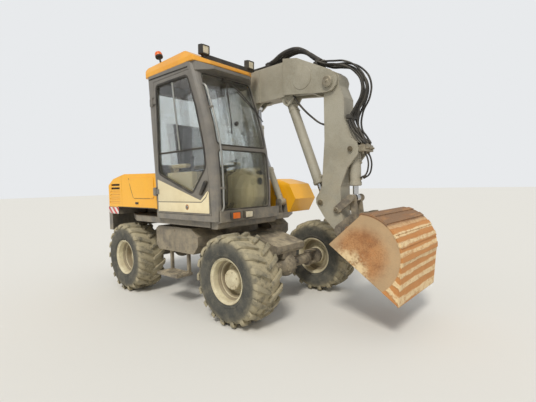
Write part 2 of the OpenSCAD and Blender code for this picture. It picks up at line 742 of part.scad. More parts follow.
lamp_x = visor_x + 2;
lamp_y = [cab_right + 175, left_at(cab_z1) - 60];

module work_lamps() {
    color("black") placed() {
        // bar across the roof's front slope, with a lamp on each end
        top = roof_top(lamp_x);
        side(lamp_y[0] - 20, lamp_y[1] + 20) polygon([[lamp_x, roof_top(lamp_x) + seat_gap],
            [lamp_x + 45, roof_top(lamp_x + 45) + seat_gap], [lamp_x + 45, top + 34], [lamp_x, top + 34]]);
        for (y = lamp_y) side(y - 60, y + 60) polygon([[lamp_x - 8, top + 22], [lamp_x + 62, top + 16],
            [lamp_x + 66, top + 134], [lamp_x - 4, top + 144]]);
        // indicator and road lamp on the beam under the windscreen
        for (y = [cab_right + 285, cab_right + 505]) box(beam_x1 + seat_gap, beam_x1 + 40, y - 75,
            y + 75, beam_z2 - 110,
            beam_z2 - 20);
    }
}

beacon_at = [-130, cab_right + 95];

// leans back on its stem
module beacon() {
    x = beacon_at[0];
    color("orange") placed() {
        side(beacon_at[1] - 28, beacon_at[1] + 28) polygon([[x - 28, roof_top(x - 28) + seat_gap],
            [x + 28, roof_top(x + 28) + seat_gap], [x + 28, roof_top(x) + 16], [x - 28, roof_top(x) + 16]]);
        translate([x, beacon_at[1], roof_top(x) + 8]) rotate([0, -22, 0]) {
            cylinder(r = 14, h = 120);
            translate([0, 0, 110]) cylinder(r = 52, h = 34);
            translate([0, 0, 144]) cylinder(r = 50, h = 22);
            intersection() {
                translate([0, 0, 150]) sphere(r = 52);
                translate([0, 0, 160]) cylinder(r = 60, h = 60);
            }
        }
    }
}

module lift_boom() {
    d = bearing(foot, elbow);
    n = turned(90, [cos(d), sin(d)]);
    hw = arm_hw - 10;
    color("gray") placed() difference() {
        union() {
            side(boom_y - hw, boom_y + hw) polygon([foot + turned(d - 120, [110, 0]), foot + [130, 40],
                foot + [175, 250], [lift_eye[0] + 30, lift_eye[1]], elbow + turned(d, [-200, -120]),
                elbow + turned(d, [0, -120]), elbow + turned(d, [100, -40]), elbow + turned(d, [100, 40]),
                elbow + turned(d, [0, 125]), elbow + turned(d, [-500, 150]), foot + turned(d, [700, 170]),
                foot + turned(d, [0, 110]), foot + turned(d, [-90, 50])]);
            bar(elbow, 115, boom_y - hw, boom_y + hw);
            bar(foot, 110, boom_y - arm_hw, boom_y + arm_hw);
            // bosses beside the lift rods' eyes
            bar(lift_eye, 55, boom_y - 150, boom_y + 150);
            for (s = [-1, 1]) side(boom_y + (s > 0 ? 60 : -80), boom_y + (s > 0 ? 80 : -60))
                polygon([foot + [60, 20],
                jib_base + [20, -60], jib_base + [60, 0], jib_base + [20, 60], foot + [120, 300]]);
        }
        bar(foot, pin_r + pin_fit, boom_y - 200, boom_y + 200);
        bar(elbow, pin_r + pin_fit, boom_y - 200, boom_y + 200);
        // slot that clears the jib cylinder
        side(boom_y - 60, boom_y + 60) polygon([foot + [125, -150], foot + [400, -150], [900, 2900],
            [jib_eye[0] - 80, 2900], jib_base + turned(bearing(jib_base, jib_eye), [0, 90]),
            jib_base + [-85, -20]]);
    }
    color("gray") placed() bar(jib_base, pin_s, boom_y - 92, boom_y + 92);
}

lift_dir = unit(lift_eye - lift_base);
lift_tube = 560;

module lift_barrels() {
    color("gray") placed() for (s = [-1, 1]) {
        y = boom_y + s * lift_y;
        difference() {
            union() {
                bar(lift_base, 56, y - 50, y + 50);
                rod(lift_base + 40 * lift_dir, lift_base + lift_tube * lift_dir, y, 48);
            }
            bar(lift_base, pin_s + pin_fit, y - 51, y + 51);
            rod(lift_base + 70 * lift_dir, lift_base + (lift_tube + 1) * lift_dir, y, 30 + pin_fit);
        }
    }
}

module lift_rods() {
    color("silver") placed() for (s = [-1, 1]) {
        y = boom_y + s * lift_y;
        rod(lift_base + 290 * lift_dir, lift_eye - 40 * lift_dir, y, 30);
        bar(lift_eye, 52, y - 34, y + 34);
        bar(lift_eye, 34, y - (s > 0 ? 30 : 48), y + (s > 0 ? 48 : 30));
    }
}

module jib() {
    d = bearing(elbow, head);
    ck = arm_hw - 10 + cheek_gap;
    color("gray") placed() difference() {
        union() {
            // box section
            side(boom_y - arm_hw, boom_y + arm_hw) polygon([elbow + [260, -190], [1170, 2865],
                [1640, 2820], [1640, 3100],
                [1400, 3300], [1170, 3345], [620, 3340], elbow + [260, 250]]);
            // rear cheeks round the lift boom's head
            for (s = [-1, 1]) side(boom_y + (s > 0 ? ck : -ck - 28), boom_y + (s > 0 ? ck + 28 : -ck))
                polygon([elbow + [-60, -120], elbow + [60, -140], elbow + [300, -185], elbow + [600, -190],
                    elbow + [600, 280], elbow + [300, 260], elbow + [60, 150], elbow + [-60, 120],
                    elbow + [-130, 40],
                    elbow + [-130, -40]]);
            bar(elbow, pin_r, boom_y - ck - 45, boom_y + ck + 45);
            // head plates
            for (s = [-1, 1]) side(boom_y + (s > 0 ? arm_hw + cheek_gap : -arm_hw - cheek_gap - 35),
                boom_y + (s > 0 ? arm_hw + cheek_gap + 35 : -arm_hw - cheek_gap))
                polygon([[1165, 2880], head + [-40, -125], head + [50, -115], head + [110, -60],
                head + [125, 10],
                    head + [100, 80], head + [20, 150], [1400, 3330], [1165, 3375]]);
            box(1165, 1400, boom_y - arm_hw - 10, boom_y + arm_hw + 10, 2880, 3330);
            bar(head, pin_r, boom_y - arm_hw - 75, boom_y + arm_hw + 75);
            for (s = [-1, 1]) bar(head, 72, boom_y + (s > 0 ? arm_hw + 40 : -arm_hw - 75),
                boom_y + (s > 0 ? arm_hw + 75 : -arm_hw - 40));
            for (s = [-1, 1]) bar([1480, 3050], 150, boom_y + (s > 0 ? arm_hw + 38 : -arm_hw - 46),
                boom_y + (s > 0 ? arm_hw + 46 : -arm_hw - 38));
            // ears of the arm cylinder
            for (s = [-1, 1]) side(boom_y + (s > 0 ? 75 : -100), boom_y + (s > 0 ? 100 : -75))
                polygon([[1060, 2880], arm_base + [-60, -30], arm_base + [0, -70], arm_base + [60, -30],
                [1320, 2880]]);
            // ears beside the jib cylinder's eye
            for (s = [-1, 1]) side(boom_y + (s > 0 ? 45 : -70), boom_y + (s > 0 ? 70 : -45))
                polygon([[jib_eye[0] - 130, 2880], jib_eye + [-50, -30], jib_eye + [0, -65],
                jib_eye + [50, -30],
                    [jib_eye[0] + 160, 2880]]);
        }
        // recess round the drifting eye of the jib cylinder
        side(boom_y - 44.9, boom_y + 44.9) polygon([[jib_eye[0] - 210, 2700], [jib_eye[0] + 260, 2700],
            [jib_eye[0] + 260, 2985], [jib_eye[0] - 210, 2985]]);
        // recess round the arm cylinder's base eye
        side(boom_y - 75, boom_y + 75) polygon([arm_base + [-85, -90], arm_base + [420, -90],
            arm_base + [420, 55], arm_base + [200, 90], arm_base + [-85, 90]]);
    }
    color("gray") placed() bar(arm_base, pin_s, boom_y - 108, boom_y + 108);
}

jib_dir = unit(jib_eye - jib_base);
jib_tube = 900;

module jib_barrel() {
    color("gray") placed() difference() {
        union() {
            bar(jib_base, 50, boom_y - 40, boom_y + 40);
            rod(jib_base + 40 * jib_dir, jib_base + jib_tube * jib_dir, boom_y, 52);
        }
        bar(jib_base, pin_s + pin_fit, boom_y - 60, boom_y + 60);
        rod(jib_base + 75 * jib_dir, jib_base + (jib_tube + 1) * jib_dir, boom_y, 32 + pin_fit);
    }
}

module jib_rod() {
    color("silver") placed() {
        rod(jib_base + 200 * jib_dir, jib_eye - 40 * jib_dir, boom_y, 32);
        bar(jib_eye, 50, boom_y - 39, boom_y + 39);
    }
}

module arm() {
    color("gray") placed() difference() {
        union() {
            side(boom_y - arm_hw, boom_y + arm_hw) polygon([head + [-85, -95], [1795, 2200], [1745, 1600],
                arm_eye + [-70, 60], arm_eye + [-72, -10], arm_eye + [-40, -60],
                [1790, 1180], tip + [-80, 0],
                tip + [-60, -52], tip + [0, -80], tip + [60, -52], tip + [80, 0], [2040, 1200],
                [2014, 1290],
                [2014, 1600], [2110, 1830], bucket_base + [90, -70], bucket_base + [105, 0],
                bucket_base + [75, 75],
                [2175, 2190], [2075, 2440], [2075, 2700], head + [130, -60], head + [130, 0]]);
            bar(head, 135, boom_y - arm_hw, boom_y + arm_hw);
            bar(rocker_pin, pin_s, boom_y - arm_hw - 50, boom_y + arm_hw + 50);
            bar(bucket_base, pin_s, boom_y - arm_hw - 20, boom_y + arm_hw + 20);
            for (s = [-1, 1]) bar(arm_eye, 42, boom_y + (s > 0 ? arm_hw - 5 : -arm_hw - 15),
                boom_y + (s > 0 ? arm_hw + 15 : -arm_hw + 5));
        }
        bar(head, pin_r + pin_fit, boom_y - 300, boom_y + 300);
        bar(tip, pin_r + pin_fit, boom_y - 300, boom_y + 300);
        // slot for the arm cylinder's rod and its drifting eye
        side(boom_y - 50, boom_y + 50) polygon([arm_eye + [-200, -200], arm_eye + [105, -200],
            arm_eye + [120, 40],
            arm_eye + [95, 700], arm_eye + [-200, 700]]);
        // slot for the bucket cylinder
        side(boom_y - 90, boom_y + 90) polygon([bucket_base + [-70, 75], bucket_base + [-85, -30],
            [2030, 1700], [2010, 1300], [2300, 1300], bucket_base + [300, 75]]);
    }
    // pin of the bucket cylinder
    color("gray") placed() bar(bucket_base, pin_s, boom_y - 92, boom_y + 92);
}

arm_dir = unit(arm_eye - arm_base);
arm_tube = 1230;

module arm_barrel() {
    color("gray") placed() difference() {
        union() {
            bar(arm_base, 60, boom_y - 70, boom_y + 70);
            rod(arm_base + 50 * arm_dir, arm_base + arm_tube * arm_dir, boom_y, 68);
        }
        bar(arm_base, pin_s + pin_fit, boom_y - 71, boom_y + 71);
        rod(arm_base + 90 * arm_dir, arm_base + (arm_tube + 1) * arm_dir, boom_y, 36 + pin_fit);
    }
}

module arm_rod() {
    color("silver") placed() {
        rod(arm_base + 150 * arm_dir, arm_eye - 40 * arm_dir, boom_y, 36);
        bar(arm_eye, 55, boom_y - 44, boom_y + 44);
    }
}

bucket_dir = unit(link_pin - bucket_base);
bucket_tube = 440;

module bucket_barrel() {
    color("gray") placed() difference() {
        union() {
            bar(bucket_base, 60, boom_y - 85, boom_y + 85);
            rod(bucket_base + 50 * bucket_dir, bucket_base + bucket_tube * bucket_dir, boom_y, 68);
        }
        bar(bucket_base, pin_s + pin_fit, boom_y - 95, boom_y + 95);
        rod(bucket_base + 80 * bucket_dir, bucket_base + (bucket_tube + 1) * bucket_dir, boom_y,
            36 + pin_fit);
    }
}

module bucket_rod() {
    color("silver") placed() {
        rod(bucket_base + 200 * bucket_dir, link_pin - 40 * bucket_dir, boom_y, 36);
        bar(link_pin, 50, boom_y - 38, boom_y + 38);
    }
}

module strap(p, q, r, y0, y1) {
    u = unit(q - p);
    n = turned(90, u) * r;
    side(y0, y1) polygon([p - n, q - n, q + n, p + n]);
    bar(p, r, y0, y1);
    bar(q, r, y0, y1);
}

plate_y = [arm_hw + cheek_gap, arm_hw + cheek_gap + 22];

module rocker() {
    color("gray") placed() for (s = [-1, 1]) difference() {
        union() {
            y0 = boom_y + (s > 0 ? plate_y[0] : -plate_y[1]);
            y1 = boom_y + (s > 0 ? plate_y[1] : -plate_y[0]);
            strap(rocker_pin, link_pin, 48, y0, y1);
            bar(link_pin, pin_s, boom_y + (s > 0 ? 50 : -plate_y[0] - 5),
                boom_y + (s > 0 ? plate_y[0] + 5 : -50));
        }
        bar(rocker_pin, pin_s + pin_fit, boom_y - 300, boom_y + 300);
    }
}

module link() {
    color("gray") placed() difference() {
        union() {
            for (s = [-1, 1]) strap(link_pin, coupler_pin, 44, boom_y + (s > 0 ? 60 : -85),
                boom_y + (s > 0 ? 85 : -60));
            bar(coupler_pin, 44, boom_y - 112, boom_y + 112);
        }
        bar(link_pin, pin_s + pin_fit, boom_y - 300, boom_y + 300);
    }
}

lip = [2110, 950];
edge = [2910, 380];
back_a = 42;
// a place beside the bucket's flat back: s along it from the lip, h out from it
function on_back(s, h) = lip + turned(back_a, [s, h]);
ear_at = [105, 360];
ear_h = 62;
ear_pins = [for (a = ear_at) on_back(a, ear_h)];

module coupler() {
    jk = bearing(tip, coupler_pin);
    color("dimgray") placed() {
        difference() {
            union() {
                for (s = [-1, 1]) side(s > 0 ? boom_y + plate_y[0] : boom_y - plate_y[1],
                    s > 0 ? boom_y + plate_y[1] : boom_y - plate_y[0])
                    polygon([tip + turned(jk - 150, [72, 0]), tip + turned(jk - 100, [78, 0]),
                    on_back(30, seat_gap),
                        on_back(440, seat_gap), on_back(440, 80), on_back(390, 118),
                        coupler_pin + turned(jk, [70, 40]),
                        coupler_pin + turned(jk, [10, 66]), tip + turned(jk, [0, 75]),
                        tip + turned(jk + 140, [78, 0])]);
                side(boom_y - plate_y[0] - 1, boom_y + plate_y[0] + 1) polygon([on_back(60, seat_gap),
                    on_back(420, seat_gap), on_back(400, 30), on_back(80, 30)]);
            }
            for (p = ear_pins) bar(p, pin_s + pin_fit, boom_y - 200, boom_y + 200);
        }
        bar(tip, pin_r, boom_y - plate_y[1] - 12, boom_y + plate_y[1] + 12);
        for (s = [-1, 1]) bar(coupler_pin, 40, s > 0 ? boom_y + plate_y[1] - 1 : boom_y - plate_y[1] - 10,
            s > 0 ? boom_y + plate_y[1] + 10 : boom_y - plate_y[1] + 1);
    }
}

function arc(c, r, a0, a1, n) = [for (i = [0:n]) c + r * [cos(a0 + (a1 - a0) * i / n),
    sin(a0 + (a1 - a0) * i / n)]];

module bucket() {
    y0 = boom_y - bucket_w / 2;
    y1 = boom_y + bucket_w / 2;
    ear = plate_y[1] + cheek_gap;
    outer = concat([lip], arc(bucket_c, shell_r, 86, -12, 12), [edge]);
    inner = concat([edge + [-shell_t, 4]], arc(bucket_c, shell_r - shell_t, -12, 86, 12), [on_back(8,
        -shell_t)]);
    color("sienna") placed() {
        side(y0, y1) polygon(concat(outer, inner));
        for (y = [y0, y1 - end_t]) side(y, y + end_t) polygon(outer);
        // wear strips across the shell
        for (a = [72:-18:0]) translate([bucket_c[0], 0, bucket_c[1]]) rotate([0, -a, 0])
            translate([shell_r - 6, y0, -32]) cube([6 + strip_h, bucket_w, 64]);
        // ears beside the coupler, with the two pins that carry it
        for (s = [-1, 1], a = ear_at) side(s > 0 ? boom_y + ear : boom_y - ear - 25,
            s > 0 ? boom_y + ear + 25 : boom_y - ear)
            polygon([on_back(a - 65, -5), on_back(a + 65, -5), on_back(a + 40, ear_h + 30),
            on_back(a + 15, ear_h + 52),
                on_back(a - 15, ear_h + 52), on_back(a - 40, ear_h + 30)]);
        for (p = ear_pins) bar(p, pin_s, boom_y - ear - 35, boom_y + ear + 35);
    }
}

chassis();
front_axle();
rear_axle();
knuckle(1);  // knuckle_left
knuckle(-1);  // knuckle_right
tie_rod();
wheel_at(front_x, 1) tyre();  // tyre_front_left
wheel_at(front_x, -1) tyre();  // tyre_front_right
wheel_at(-front_x, 1) tyre();  // tyre_rear_left
wheel_at(-front_x, -1) tyre();  // tyre_rear_right
wheel_at(front_x, 1) wheel(150);  // wheel_front_left
wheel_at(front_x, -1) wheel(150);  // wheel_front_right
wheel_at(-front_x, 1) wheel(70);  // wheel_rear_left
wheel_at(-front_x, -1) wheel(70);  // wheel_rear_right
platform();
counterweight();
hood();
engine();
side_cover();
cab_shell();
cab_roof();
cab_glass();
door();
door_glass();
seat();
seat_base();
consoles();
steering_column();
work_lamps();
beacon();
lift_boom();
lift_barrels();
lift_rods();
jib();
jib_barrel();
jib_rod();
arm();
arm_barrel();
arm_rod();
bucket_barrel();
bucket_rod();
rocker();
link();
coupler();
bucket();
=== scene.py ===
from math import asin, atan2, cos, hypot, pi, radians, sin

import bpy
from mathutils import Matrix, Vector


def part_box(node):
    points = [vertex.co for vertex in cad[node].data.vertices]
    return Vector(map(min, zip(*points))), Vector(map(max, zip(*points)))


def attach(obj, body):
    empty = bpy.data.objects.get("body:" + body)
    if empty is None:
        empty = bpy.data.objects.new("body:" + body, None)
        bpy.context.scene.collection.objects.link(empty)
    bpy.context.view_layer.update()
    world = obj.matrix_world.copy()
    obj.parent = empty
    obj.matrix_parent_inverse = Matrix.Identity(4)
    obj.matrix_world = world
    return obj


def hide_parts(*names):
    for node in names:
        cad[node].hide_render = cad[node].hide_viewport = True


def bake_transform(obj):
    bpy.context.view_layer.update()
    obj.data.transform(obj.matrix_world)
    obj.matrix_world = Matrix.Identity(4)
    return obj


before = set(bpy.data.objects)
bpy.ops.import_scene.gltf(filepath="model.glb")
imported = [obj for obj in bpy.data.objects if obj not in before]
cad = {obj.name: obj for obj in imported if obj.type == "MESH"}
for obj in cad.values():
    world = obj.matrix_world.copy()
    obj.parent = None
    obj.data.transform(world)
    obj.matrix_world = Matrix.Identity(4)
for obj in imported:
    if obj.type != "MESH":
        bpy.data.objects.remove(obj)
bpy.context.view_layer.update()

# The camera stands where the photographer stood: at eye height, to the right of the front wheel, with a wide
# lens, tipped down a little and rolled a little.
PHOTO_WIDTH, FOCAL_PIXELS, SENSOR_WIDTH = 536, 352.02, 36
eye = Vector((3.8035, -3.789, 1.6529))
heading, dip, roll = radians(131.206), radians(-2.723), radians(-1.35)
ahead = Vector((cos(heading) * cos(dip), sin(heading) * cos(dip), sin(dip)))
level = Vector((sin(heading), -cos(heading), 0))
upright = level.cross(ahead)
right = level * cos(roll) + upright * sin(roll)
top = upright * cos(roll) - level * sin(roll)
bpy.ops.object.camera_add(location=eye, rotation=Matrix((right, top, -ahead)).transposed().to_euler())
camera = bpy.context.object
camera.data.sensor_width = SENSOR_WIDTH
camera.data.lens = SENSOR_WIDTH * FOCAL_PIXELS / PHOTO_WIDTH
bpy.context.scene.camera = camera
bpy.context.scene.view_settings.view_transform = "Standard"

# The studio: a wide pale floor, an even pale sky all round and one broad lamp high on the right, which gives
# the machine a soft shadow.


def rgb(r, g, b):
    """The colour of a paint chip, read as the eye sees it."""
    return tuple((c / 255 / 12.92) if c < 10.3 else ((c / 255 + 0.055) / 1.055) ** 2.4 for c in (r, g, b)) + (1,)


class Signal:
    """One output of a shader node; signals and numbers combine to new signals as numbers do."""

    def __init__(self, socket):
        self.socket, self.tree = socket, socket.id_data

    def out(self, name):
        """Another output of the same node."""
        return Signal(self.socket.node.outputs[name])

    def by(self, operation, other=0.0):
        return node(self.tree, "Math", {"operation": operation}, self, other)

    def __add__(self, other):
        return self.by("ADD", other)

    def __sub__(self, other):
        return self.by("SUBTRACT", other)

    def __rsub__(self, number):
        return node(self.tree, "Math", {"operation": "SUBTRACT"}, number, self)

    def __mul__(self, other):
        return self.by("MULTIPLY", other)

    def clamped(self):
        """Holds the last step's result between 0 and 1."""
        self.socket.node.use_clamp = True
        return self

    def ramp(self, low, high):
        """0 below low, 1 above high, smooth between."""
        return node(self.tree, "MapRange", {"interpolation_type": "SMOOTHSTEP"}, Value=self,
                    From_Min=low, From_Max=high)


def put(socket, value):
    """Feeds a socket with a signal or sets its value; a colour is a paint chip."""
    if isinstance(value, Signal):
        socket.id_data.links.new(value.socket, socket)
    else:
        socket.default_value = rgb(*value) if socket.type == "RGBA" else value


def put_all(sockets, values):
    for key, value in values.items():
        put(sockets[key.replace("_", " ")], value)


def node(tree, kind, settings=None, *values, **inputs):
    """Adds a shader node and returns its first output."""
    made = tree.nodes.new("ShaderNode" + kind)
    for key, value in (settings or {}).items():
        setattr(made, key, value)
    for socket, value in zip(made.inputs, values):
        put(socket, value)
    put_all(made.inputs, inputs)
    return Signal(made.outputs[0])


def material(name):
    """A new material, with the place on the object and the direction of the surface as signals."""
    made = bpy.data.materials.new(name)
    made.use_nodes = True
    where = node(made.node_tree, "TexCoord")
    return made, where.out("Object"), where.out("Normal")


def coated(made, **inputs):
    put_all(made.node_tree.nodes["Principled BSDF"].inputs, inputs)


bpy.ops.mesh.primitive_plane_add(size=160)
floor = bpy.context.object
floor.name = "studio_floor"
concrete = material("pale_floor")[0]
coated(concrete, Base_Color=(226, 224, 218), Roughness=0.95)
floor.data.materials.append(concrete)

sky = bpy.data.worlds.new("even_sky")
sky.use_nodes = True
bpy.context.scene.world = sky
lit = sky.node_tree.nodes["Background"]
lit.inputs["Color"].default_value = (0.96, 0.98, 1.0, 1)
lit.inputs["Strength"].default_value = 0.62
shown = node(sky.node_tree, "Background", Color=(232, 234, 236), Strength=1.0)
rays = node(sky.node_tree, "LightPath")
seen = rays.out("Is Camera Ray").by("MAXIMUM", rays.out("Is Transmission Ray"))
either = node(sky.node_tree, "MixShader", None, seen, Signal(lit.outputs[0]), shown)
put(sky.node_tree.nodes["World Output"].inputs["Surface"], either)

bpy.ops.object.light_add(type="SUN", rotation=(radians(42), 0, radians(28)))
bpy.context.object.data.energy = 1.9
bpy.context.object.data.angle = radians(14)
bpy.context.object.data.color = (1.0, 0.965, 0.9)

# Chassis and axles: a welded steel beam with step boxes, painted dusty grey-brown, and cast axles bolted
# under it. Paint wears off at edges, and road dust settles on whatever faces up.


def noise(place, scale, detail, roughness=0.5):
    return node(place.tree, "TexNoise", Vector=place, Scale=scale, Detail=detail, Roughness=roughness)


def mixed(share, a, b):
    """Colour a where share is 0, colour b where it is 1."""
    made = node(share.tree, "Mix", {"data_type": "RGBA"}, share).out(2)
    for i, value in ((6, a), (7, b)):
        put(made.socket.node.inputs[i], value)
    return made


def effect(name, wants, gives):
    """A shader group with named inputs and outputs: c for colour, f for float, v for vector."""
    group = bpy.data.node_groups.new(name, "ShaderNodeTree")
    kinds = {"c": "NodeSocketColor", "f": "NodeSocketFloat", "v": "NodeSocketVector"}
    for side, sockets in (("INPUT", wants), ("OUTPUT", gives)):
        for title, kind in sockets.items():
            group.interface.new_socket(title, in_out=side, socket_type=kinds[kind])
    return group, Signal(group.nodes.new("NodeGroupInput").outputs[0]), group.nodes.new("NodeGroupOutput").inputs


def placed(group, place, **inputs):
    """Uses a shader group in the tree that place belongs to."""
    return node(place.tree, "Group", {"node_tree": group}, Place=place, **inputs)


# mottled paint: broad patches and fine speckle of a lighter or darker tone
mottle, place, out = effect("mottled_tone", {"Place": "v", "Tone": "c", "Other": "c", "Broad": "f", "Share": "f"},
                            {"Colour": "c"})
patches = noise(place, place.out("Broad"), 5.0, 0.62).ramp(0.38, 0.66)
both = patches + noise(place, 85.0, 3.0).ramp(0.45, 0.62) * 0.5
put(out["Colour"], mixed((both * place.out("Share")).clamped(), place.out("Tone"), place.out("Other")))

# settled dust: thick low down and on faces that look up, broken by noise
dust, place, out = effect("settled_dust", {"Place": "v", "Facing": "v", "Amount": "f", "Low": "f"}, {"Mask": "f"})
height, facing = (node(dust, "SeparateXYZ", Vector=place.out(title)).out(2) for title in ("Place", "Facing"))
near = (place.out("Low") - height).ramp(-0.5, 0.6) * 0.75
lying = facing.ramp(0.1, 0.95) * 0.7
drift = (near + lying + 0.35) * noise(place, 6.5, 7.0, 0.7).ramp(0.3, 0.72)
put(out["Mask"], (drift * place.out("Amount")).clamped())

# worn edges: where the surface turns sharply, broken by noise; it also rounds the edge for the light
edges, place, out = effect("worn_edges", {"Place": "v", "Radius": "f", "Amount": "f"}, {"Mask": "f", "Normal": "v"})
rounded = node(edges, "Bevel", {"samples": 4}, Radius=place.out("Radius"))
flat = node(edges, "NewGeometry").out("Normal")
straight = node(edges, "VectorMath", {"operation": "DOT_PRODUCT"}, rounded, flat).out("Value")
chips = noise(place, 38.0, 4.0, 0.7).ramp(0.42, 0.6)
put(out["Mask"], ((1.0 - straight).ramp(0.01, 0.2) * chips * place.out("Amount")).clamped())
put(out["Normal"], rounded)

# grain of cast, rolled or moulded stuff, as height
grain, place, out = effect("surface_grain", {"Place": "v", "Fine": "f", "Waves": "f"}, {"Height": "f"})
fine = noise(place, place.out("Fine"), 4.0, 0.6)
put(out["Height"], fine + noise(place, 2.6, 2.0) * place.out("Waves"))

ROAD_DUST = (186, 172, 144)


def bumped(height, strength, depth, **inputs):
    return node(height.tree, "Bump", Strength=strength, Distance=depth, Height=height, **inputs)


def finish(name, tone, other, broad=2.5, share=0.6, dusty=0.4, low=1.0, dust_tone=ROAD_DUST, wear=0.5,
           bare=(96, 84, 72), edge=0.005, rough=0.5, fine=120.0, waves=1.0, bump=0.25, deep=0.002, metal=0.0, coat=0.0):
    """A weathered surface: two tones, dust, worn edges and grain."""
    made, place, facing = material(name)
    worn = placed(edges, place, Radius=edge, Amount=wear)
    settled = placed(dust, place, Facing=facing, Amount=dusty, Low=low)
    colour = mixed(worn, placed(mottle, place, Tone=tone, Other=other, Broad=broad, Share=share), bare)
    relief = bumped(placed(grain, place, Fine=fine, Waves=waves), bump, deep, Normal=worn.out("Normal"))
    matt = node(place.tree, "MapRange", Value=settled, To_Min=rough, To_Max=0.95)
    coated(made, Base_Color=mixed(settled, colour, dust_tone), Normal=relief, Roughness=matt, Metallic=metal,
           Coat_Weight=coat)
    return made


def dress(paint, *names):
    """Gives CAD nodes their finish."""
    for name in names:
        if not cad[name].material_slots:
            cad[name].data.materials.append(paint)
        for place in cad[name].material_slots:
            place.material = paint


frame_paint = finish("frame_paint", (114, 106, 94), (88, 82, 72), dusty=0.62, low=1.2, wear=0.6, bare=(92, 66, 48))
axle_iron = finish("axle_iron", (84, 78, 70), (58, 54, 50), dusty=0.7, low=0.8, wear=0.4, fine=60.0, bump=0.5)
dress(frame_paint, "chassis")
dress(axle_iron, "front_axle", "rear_axle", "knuckle_left", "knuckle_right")
dress(finish("tie_rod_steel", (110, 106, 98), (70, 66, 60), dusty=0.5, metal=0.6, rough=0.45), "tie_rod")

# Tyres: cleated rubber, moulded with eighteen slanted lugs on each half. Clay packs the gaps of the tread and
# dries pale, and the smooth side walls stay darker.


def alone(piece=None):
    """Selects one piece and nothing else."""
    bpy.ops.object.select_all(action="DESELECT")
    if piece:
        piece.select_set(True)
        bpy.context.view_layer.objects.active = piece


def mode(kind):
    bpy.ops.object.mode_set(mode=kind)


def take_all():
    bpy.ops.mesh.select_all(action="SELECT")


def pull(way):
    """Draws what is selected out along a way."""
    bpy.ops.mesh.extrude_region_move(TRANSFORM_OT_translate={"value": way})


def line(points):
    """Draws a string of edges through the points, from a plane merged to one vertex, and stays in edit mode."""
    alone()
    bpy.ops.mesh.primitive_plane_add(size=1)
    mode("EDIT")
    bpy.ops.mesh.merge(type="CENTER")
    bpy.ops.transform.translate(value=points[0])
    for a, b in zip(points, points[1:]):
        pull(Vector(b) - Vector(a))
    take_all()


def made_solid():
    """Turns the faces of the mesh being edited outward and leaves edit mode."""
    take_all()
    bpy.ops.mesh.normals_make_consistent(inside=False)
    mode("OBJECT")
    return bpy.context.object


def spun(profile, steps, closed=True):
    """A part turned about the Y axis from a profile of (radius, place along Y)."""
    line([(0, y, r) for r, y in profile + profile[:1] * closed])
    bpy.ops.mesh.spin(steps=steps, angle=2 * pi, center=(0, 0, 0), axis=(0, 1, 0))
    take_all()
    bpy.ops.mesh.remove_doubles(threshold=0.0001)
    return made_solid()


def modified(piece, kind, **settings):
    """Adds one modifier and applies it."""
    alone(piece)
    added = piece.modifiers.new(kind.lower(), kind)
    for key, value in settings.items():
        setattr(added, key, value)
    bpy.ops.object.modifier_apply(modifier=added.name)
    return piece


def applied(piece):
    """Leaves a piece's object at the origin, unturned and unscaled."""
    alone(piece)
    bpy.ops.object.transform_apply(location=True, rotation=True, scale=True)
    return piece


def smoothed(piece, angle=35):
    """Shades a piece smooth up to an angle in degrees."""
    alone(piece)
    bpy.ops.object.shade_smooth_by_angle(angle=radians(angle))
    return piece


def eased(piece, width, segments=2):
    """Breaks a piece's edges and shades it smooth."""
    modified(piece, "BEVEL", width=width, segments=segments, limit_method="ANGLE", angle_limit=radians(35))
    return smoothed(piece, 40)


def joined(pieces):
    alone(pieces[0])
    for piece in pieces:
        piece.select_set(True)
    bpy.ops.object.join()
    return bpy.context.object


def named(pieces, name, paint):
    """Joins pieces where they are a list, puts the whole at the origin, and names and paints it."""
    piece = applied(joined(pieces) if isinstance(pieces, list) else pieces)
    piece.name = piece.data.name = name
    piece.data.materials.clear()
    piece.data.materials.append(paint)
    return piece


def fixed(pieces, name, paint, body):
    """Finishes a piece and fixes it to its body."""
    piece = named(pieces, name, paint)
    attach(piece, body)
    return piece


def mark(piece, title, share):
    """Gives each vertex a value, from how far it is from the axle and how far out along it."""
    layer = piece.data.attributes.new(title, "FLOAT", "POINT")
    for value, v in zip(layer.data, piece.data.vertices):
        value.value = share(hypot(v.co.x, v.co.z), v.co.y)


def roll_on(degrees):
    """Turns what is selected about the wheel's axis."""
    bpy.ops.transform.rotate(value=radians(degrees), orient_axis="Y", center_override=(0, 0, 0))


def tread_clay(reach, along):
    return min(1.0, max(0.0, (reach - 0.43) / 0.07)) * (1.0 if reach < 0.515 else 0.62)


